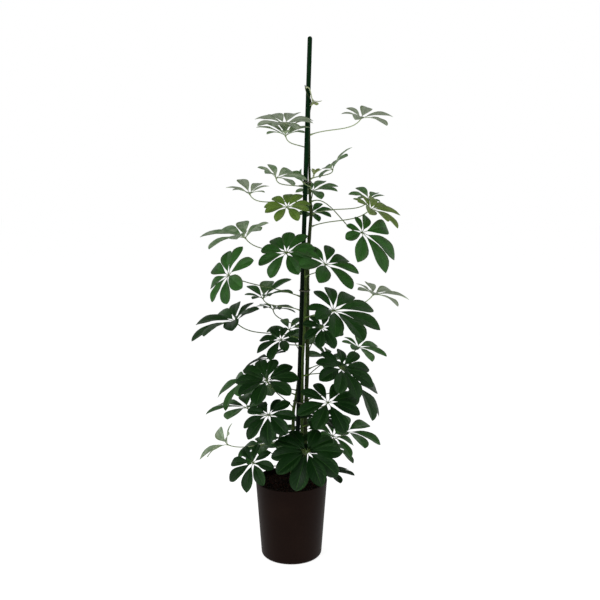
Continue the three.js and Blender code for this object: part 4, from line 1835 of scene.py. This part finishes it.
@dataclass
class Leaflet:
    """One leaflet of a leaf: a stalk that widens into an arched blade.

    Attributes:
        hub: The middle of the leaf.
        radial: The leaflet's heading in the leaf's face.
        normal: The leaf's face normal.
        length: The leaflet's length along its midrib.
        cup: How far the leaflet rises from the leaf's face at the hub, in degrees.
        tone: How light its leaf is, from 0 to 1.
        chance: The source of its small irregularities.
    """

    hub: Vector
    radial: Vector
    normal: Vector
    length: float
    cup: float
    tone: float
    chance: np.random.Generator

    COLUMNS = (-1.0, -0.62, -0.12, 0.0, 0.12, 0.62, 1.0)
    BLADE_RINGS = 12
    STALK_RINGS = (0.02, 0.06, 0.11)
    BLADE_START = 0.12
    STALK_RADIUS = 0.75
    BLADE_THICKNESS = 0.55
    RIB_TAPER = 0.75
    UPPER_RIB = 0.4
    NOTCH_POWER = 10
    WAVE_END = 1.1
    RING_SHIFT = 0.6
    RING_STRETCH = 0.8

    # What each irregularity is drawn from, in degrees or as a share.
    STARTS = (-3, 3)
    BENDS = (-6, 6)
    TWISTS = (-9, 9)
    SWEEPS = (-0.035, 0.035)
    WAVES = (0.004, 0.014)
    WAVE_TURNS = (1.2, 2.2)
    BLUNTNESSES = (1.8, 2.6)
    POINTS = (0.62, 0.92)
    WEDGES = (1.05, 1.3)
    WIDESTS = (0.6, 0.7)
    FULLNESSES = (1.02, 1.24)
    NOTCHES = (-0.03, 0.035)
    TONE_SPREAD = 0.03

    def __post_init__(self) -> None:
        """Draws the leaflet's own irregularities."""
        chance = self.chance
        self.side = self.normal.cross(self.radial)
        self.start = math.radians(self.cup + ARCH_START + chance.uniform(*self.STARTS))
        self.bend = math.radians(ARCH + chance.uniform(*self.BENDS))
        self.twist = math.radians(chance.uniform(*self.TWISTS))
        self.sweep = chance.uniform(*self.SWEEPS)
        self.wave = chance.uniform(*self.WAVES)
        self.wave_turns = chance.uniform(*self.WAVE_TURNS)
        self.wave_starts = chance.uniform(0, math.tau, 2)
        self.bluntness = chance.uniform(*self.BLUNTNESSES)
        self.point = chance.uniform(*self.POINTS)
        self.wedge = chance.uniform(*self.WEDGES)
        self.widest = chance.uniform(*self.WIDESTS)
        self.fullness = chance.uniform(*self.FULLNESSES)
        self.notch = max(0.0, chance.uniform(*self.NOTCHES))
        self.tone += chance.normal(0, self.TONE_SPREAD)

    def slope(self, t: float) -> float:
        """Returns the midrib's angle to the leaf's face at a share of its length."""
        return self.start - self.bend * t

    def midrib(self, t: float) -> Vector:
        """Returns a point of the midrib.

        Args:
            t: Share of the leaflet's length.

        Returns:
            The point.
        """
        slope = self.slope(t)
        out = (math.sin(self.start) - math.sin(slope)) / self.bend
        up = (math.cos(slope) - math.cos(self.start)) / self.bend
        aside = self.sweep * t * t
        return self.hub + (self.radial * out + self.normal * up + self.side * aside) * self.length

    def axes(self, t: float) -> tuple[Vector, Vector]:
        """Returns the blade's sideways and upward directions at a share of its length.

        Args:
            t: Share of the leaflet's length.

        Returns:
            The two directions.
        """
        slope = self.slope(t)
        lift = self.normal * math.cos(slope) - self.radial * math.sin(slope)
        turn = self.twist * t
        across = self.side * math.cos(turn) + lift * math.sin(turn)
        return across, lift * math.cos(turn) - self.side * math.sin(turn)

    def half_width(self, u: float) -> float:
        """Returns the blade's half width at a share of the blade, from stalk to tip.

        Args:
            u: Share of the blade.

        Returns:
            The half width.
        """
        full = BLADE_HALF_WIDTH * self.fullness * self.length
        if u < self.widest:
            share = math.sin(math.pi / 2 * u / self.widest) ** self.wedge
        else:
            beyond = (u - self.widest) / (1 - self.widest)
            share = max(0.0, 1 - beyond**self.bluntness) ** self.point
        return max(full * share, self.STALK_RADIUS * (1 - u))

    def height(self, s: float, u: float, width: float) -> float:
        """Returns how far a point of the blade lies above its midrib.

        Args:
            s: Place across, from -1 to 1.
            u: Share of the blade.
            width: The half width there.

        Returns:
            The height above the midrib.
        """
        rise = width * math.sin(BLADE_FOLD) * (2 * abs(s) - s * s)
        start = self.wave_starts[0 if s < 0 else 1]
        ripple = math.sin(math.tau * self.wave_turns * u + start) - math.sin(start) * (1 - u)
        ripple *= s * s
        return rise + self.wave * self.length * ripple * math.sin(math.pi * min(1.0, u * self.WAVE_END))

    def build(self, draft: MeshDraft) -> None:
        """Adds the leaflet to a draft.

        Args:
            draft: The leaf's draft, with the upper, under and stalk finishes in its slots.
        """
        count = len(self.COLUMNS)
        around = 2 * count - 2
        stalk_rings = [self.stalk_ring(draft, t, around) for t in self.STALK_RINGS]
        blade_rings = []
        for i in range(self.BLADE_RINGS + 1):
            turn = math.pi * (i + self.RING_SHIFT) / (self.BLADE_RINGS + self.RING_STRETCH)
            u = 0.5 - 0.5 * math.cos(turn)
            blade_rings.append(self.blade_ring(draft, u))
        flip = [ring[::-1] for ring in stalk_rings + blade_rings[:1]]
        draft.skin(flip, [2] * around)
        strips = [1] * (count - 1) + [0] * (count - 1)
        draft.skin([ring[::-1] for ring in blade_rings], strips)
        tip = blade_rings[-1]
        for k in range(count - 1):
            top = (tip[k], tip[k + 1])
            under = (tip[(around - k - 1) % around], tip[(around - k) % around])
            corners = list(dict.fromkeys((*top, *under)))
            if len(corners) > 2:
                draft.face(tuple(corners), 1)
        draft.face(tuple(stalk_rings[0]), 2)

    def stalk_ring(self, draft: MeshDraft, t: float, around: int) -> list[int]:
        """Adds a ring of the stalk, in the order of a blade's ring.

        Args:
            draft: The leaf's draft.
            t: Share of the leaflet's length.
            around: Points in the ring.

        Returns:
            The points' numbers.
        """
        across, lift = self.axes(t)
        axes = (-across, lift)
        return draft.ring(self.midrib(t), axes, self.STALK_RADIUS, around, (0.5, t), self.tone)

    def blade_ring(self, draft: MeshDraft, u: float) -> list[int]:
        """Adds a ring of the blade: over the top from left to right, and back below.

        Args:
            draft: The leaf's draft.
            u: Share of the blade.

        Returns:
            The points' numbers.
        """
        t = self.BLADE_START + (1 - self.BLADE_START) * u
        width = self.half_width(u)
        across, lift = self.axes(t)
        way = lift.cross(across)
        ring = []
        last = len(self.COLUMNS) - 1
        rib = self.STALK_RADIUS * (1 - self.RIB_TAPER * u)
        for k in (*range(last + 1), *range(last - 1, 0, -1)):
            s = self.COLUMNS[k]
            upper = len(ring) <= last
            edge = k in (0, last)
            thick = 0.0 if edge else self.BLADE_THICKNESS / 2
            if s == 0 and not upper:
                thick = rib
            if s == 0 and upper:
                thick *= self.UPPER_RIB
            back = self.notch * self.length * (1 - abs(s)) * u**self.NOTCH_POWER
            level = self.height(s, u, width) + (thick if upper else -thick)
            point = self.midrib(t) + across * (s * width * math.cos(BLADE_FOLD))
            point += lift * level + way * back
            ring.append(draft.put(point, (0.5 + s / 2, t), self.tone))
        return ring


@dataclass
class Leaf(SubAssembly):
    """A palmate leaf with its petiole, hub and leaflets.

    Attributes:
        row: The leaf's row in the table.
        number: Its place in the table, which seeds its irregularities.
    """

    row: tuple[Any, ...]
    number: int

    PETIOLE_STEPS = 16
    PETIOLE_SIDES = 8
    PETIOLE_RADIUS = 1.25
    PETIOLE_EASE = 1.15
    ROOT_DEPTH = 0.8
    ROOT_FLARE = 1.9
    SHEATH_FLARE = 0.9
    SHEATH_LENGTH = 3.5
    PAD_FLARE = 0.35
    PAD_LENGTH = 3.0
    KNOB_HALF_HEIGHT = 1.7
    KNOB_SIDES = 10
    KNOB_LEVELS = 5
    SHINGLE = 2.5
    PALE_LEVEL = 1130.0
    PALE_POWER = 3.5
    FIRST_SEED = 700
    TONE_SPREAD = 0.02

    def axes(self) -> tuple[Vector, Vector, Vector]:
        """Works out the leaf's own axes.

        Returns:
            The face's normal, its heading and the third axis.
        """
        lean, bearing = (math.radians(value) for value in self.row[9:11])
        normal = Vector(
            (
                math.sin(lean) * math.sin(bearing),
                -math.sin(lean) * math.cos(bearing),
                math.cos(lean),
            )
        )
        heading = Vector((math.sin(bearing), -math.cos(bearing), 0))
        heading = (heading - normal * heading.dot(normal)).normalized()
        return normal, heading, normal.cross(heading)

    def petiole(self, draft: MeshDraft, hub: Vector, normal: Vector, tone: float) -> None:
        """Adds the petiole, from inside the stem's skin to the hub.

        Args:
            draft: The leaf's draft.
            hub: The middle of the leaf.
            normal: The face's normal.
            tone: How light the leaf is.
        """
        stem, foot_height, turn = self.row[1:4]
        centre, radius = stem_at(stem, foot_height)
        azimuth = math.atan2(hub.y - centre.y, hub.x - centre.x) + math.radians(turn)
        outward = Vector((math.cos(azimuth), math.sin(azimuth), 0))
        foot = centre + outward * (radius + PETIOLE_FOOT_GAP)
        span = (hub - foot).length
        onward = (hub - foot).normalized()
        pulled = foot + outward * (FOOT_PULL_OUT * span)
        pulled.z = foot.z + FOOT_PULL_UP * span
        arriving = hub - normal * (HUB_PULL_DOWN * span) - onward * (HUB_PULL_BACK * span)
        centres = [centre + outward * (radius - self.ROOT_DEPTH)]
        radii = [self.PETIOLE_RADIUS * self.ROOT_FLARE]
        for i in range(self.PETIOLE_STEPS + 1):
            t = (i / self.PETIOLE_STEPS) ** self.PETIOLE_EASE
            a, b, c, d = (1 - t) ** 3, 3 * t * (1 - t) ** 2, 3 * t * t * (1 - t), t**3
            centres.append(foot * a + pulled * b + arriving * c + hub * d)
            sheath = self.SHEATH_FLARE * math.exp(-t * span / self.SHEATH_LENGTH)
            pad = self.PAD_FLARE * math.exp(-(1 - t) * span / self.PAD_LENGTH)
            radii.append(self.PETIOLE_RADIUS * (1 + sheath + pad))
        draft.tube(centres, radii, self.PETIOLE_SIDES, 2, (-1.0, 0.0), tone)

    def knob(self, draft: MeshDraft, hub: Vector, normal: Vector, heading: Vector) -> None:
        """Adds the hub's flattened knob.

        Args:
            draft: The leaf's draft.
            hub: The middle of the leaf.
            normal: The face's normal.
            heading: Its heading.
        """
        axes = (heading, normal.cross(heading))
        rings = []
        for level in range(1, self.KNOB_LEVELS):
            polar = math.pi * level / self.KNOB_LEVELS
            middle = hub - normal * (self.KNOB_HALF_HEIGHT * math.cos(polar))
            rings.append(draft.ring(middle, axes, HUB_RADIUS * math.sin(polar), self.KNOB_SIDES))
        draft.capped(rings, 2)

    def shape(self) -> Object:
        """Builds the petiole, the hub and the fan of leaflets, and dresses them.

        Returns:
            The leaf.
        """
        x, y, z, reach, count, _, _, spin, cup, low = self.row[4:]
        chance = np.random.default_rng(self.FIRST_SEED + self.number)
        hub = Vector((x, y, z))
        normal, heading, third = self.axes()
        # The tone rises with height: partly the paler young growth at the top, partly painted light on
        # the upper leaves and painted shade on the lower ones.
        tone = (z / self.PALE_LEVEL) ** self.PALE_POWER + chance.normal(0, self.TONE_SPREAD)
        # Painted light: some leaves are painted paler for the sheen and light that they catch.
        tone += PAINTED_LIGHT_TONES.get(self.node, 0.0)
        draft = MeshDraft()
        self.petiole(draft, hub, normal, tone)
        self.knob(draft, hub, normal, heading)
        turn = math.radians(spin)
        step = math.radians((360 - FAN_GAP) / (count - 1))
        for i in range(count):
            angle = turn + (i - (count - 1) / 2) * step
            radial = heading * math.cos(angle) + third * math.sin(angle)
            length = reach * (low + (1 - low) * math.cos((angle - turn) / 2) ** 2)
            lift = self.SHINGLE if i % 2 else -self.SHINGLE
            Leaflet(hub, radial, normal, length, cup + lift, tone, chance).build(draft)
        wardrobe = WARDROBES[AGES.get(self.node, LeafAge.MATURE)]
        return draft.to_object(f"fine_{self.node}", wardrobe)


# ---- studio --------------------------------------------------------------------------------


@dataclass(frozen=True)
class Lamp:
    """A round soft lamp.

    Attributes:
        name: Its name.
        place: Where it hangs, in metres.
        size: Its diameter, in metres.
        power: Its power, in watts.
    """

    name: str
    place: tuple[float, float, float]
    size: float
    power: float

    def hang(self, aim: Vector) -> None:
        """Makes the lamp and turns it to a point.

        Args:
            aim: The point, in metres.
        """
        lamp = bpy.data.lights.new(self.name, "AREA")
        lamp.shape = "DISK"
        lamp.size = self.size
        lamp.energy = self.power
        holder = add_object(self.name, lamp)
        holder.location = self.place
        holder.rotation_euler = (aim - Vector(self.place)).to_track_quat("-Z", "Y").to_euler()


@dataclass
class Studio:
    """A white studio: paper floor, soft lamps, a pale surround and the camera.

    Attributes:
        eye: Where the camera stands, in metres.
        dip: How far it looks down, in degrees.
        lens: Its focal length, for a sensor 36 mm wide.
        floor: The floor's half width, in metres.
        backdrop: Strength of the surround behind the plant.
        front: Strength of the surround behind the viewer.
        ceiling: Strength of the surround overhead, as a share.
        aim: Height of the point that the lamps face, in metres.
        lamps: The lamps.
    """

    eye: tuple[float, float, float] = (0.0216, -2.038, 0.963)
    dip: float = 8.66
    lens: float = 50.58
    floor: float = 14.0
    backdrop: float = 0.5
    front: float = 0.18
    ceiling: float = 0.3
    aim: float = 0.6
    lamps: tuple[Lamp, ...] = (
        Lamp("key_lamp", (-1.5, -1.9, 1.9), 1.4, 19.0),
        Lamp("fill_lamp", (1.9, -1.3, 1.6), 1.4, 8.0),
    )

    BEHIND = (-0.5, 0.8)
    OVERHEAD = (0.3, 1.0)
    SENSOR_WIDTH = 36

    def build(self) -> None:
        """Sets up the studio."""
        self.lay_floor()
        self.surround()
        for lamp in self.lamps:
            lamp.hang(Vector((0, 0, self.aim)))
        self.set_camera()
        bpy.context.scene.view_settings.view_transform = "Standard"
        log.info("studio: %d lamps, camera %.1f degrees down", len(self.lamps), self.dip)

    def lay_floor(self) -> None:
        """Lays the paper floor."""
        corners = [(-1, -1, 0), (1, -1, 0), (1, 1, 0), (-1, 1, 0)]
        mesh = bpy.data.meshes.new("floor")
        points = [tuple(c * self.floor for c in corner) for corner in corners]
        mesh.from_pydata(points, [], [(0, 1, 2, 3)])
        mesh.materials.append(PAPER.material())
        floor = add_object("floor", mesh)

    def surround(self) -> None:
        """Makes the surround: white to look at, and brightest behind the plant as a light."""
        world = bpy.data.worlds.new("surround")
        world.use_nodes = True
        wiring = Wiring(world.node_tree)
        direction = wiring.add("ShaderNodeTexCoord").outputs["Generated"]
        _, depth, height = wiring.add("ShaderNodeSeparateXYZ", {0: direction}).outputs
        behind = wiring.span(wiring.fade(depth, *self.BEHIND), self.front, self.backdrop)
        overhead = wiring.span(wiring.fade(height, *self.OVERHEAD), 1.0, self.ceiling)
        light = wiring.math("MULTIPLY", behind, overhead)
        seen = wiring.add("ShaderNodeLightPath").outputs["Is Camera Ray"]
        background = world.node_tree.nodes["Background"]
        background.inputs["Color"].default_value = (1, 1, 1, 1)
        wiring.tree.links.new(wiring.math("MAXIMUM", light, seen), background.inputs["Strength"])
        bpy.context.scene.world = world

    def set_camera(self) -> None:
        """Sets up the camera."""
        camera = bpy.data.cameras.new("camera")
        camera.lens = self.lens
        camera.sensor_width = self.SENSOR_WIDTH
        holder = add_object("camera", camera)
        holder.location = self.eye
        holder.rotation_euler = (math.radians(90 - self.dip), 0, 0)
        bpy.context.scene.camera = holder


# ---- assembly ------------------------------------------------------------------------------


def main() -> None:
    """Builds the studio and every piece of the plant."""
    logging.basicConfig(level=logging.INFO, format="%(message)s")
    Studio().build()
    pieces: list[SubAssembly] = [
        Pot("pot", "pot_plastic"),
        GranuleBed("clay_granules", "clay_granules"),
        Stake("stake", "stake_coating"),
        Stem("stem_leader", "stem_bark", LEADER_BARK),
        Stem("stem_front", "stem_bark", GREEN_BARK),
        Stem("stem_left", "stem_bark", GREEN_BARK),
    ]
    pieces += [Tie(name, "tie_cord", level) for name, level in TIE_LEVELS.items()]
    for number, row in enumerate(LEAVES):
        slot = "young_leaf" if AGES.get(row[0]) is LeafAge.YOUNG else "leaf_green"
        pieces.append(Leaf(row[0], slot, row, number))
    for piece in pieces:
        piece.build()


if __name__ == "__main__":
    main()
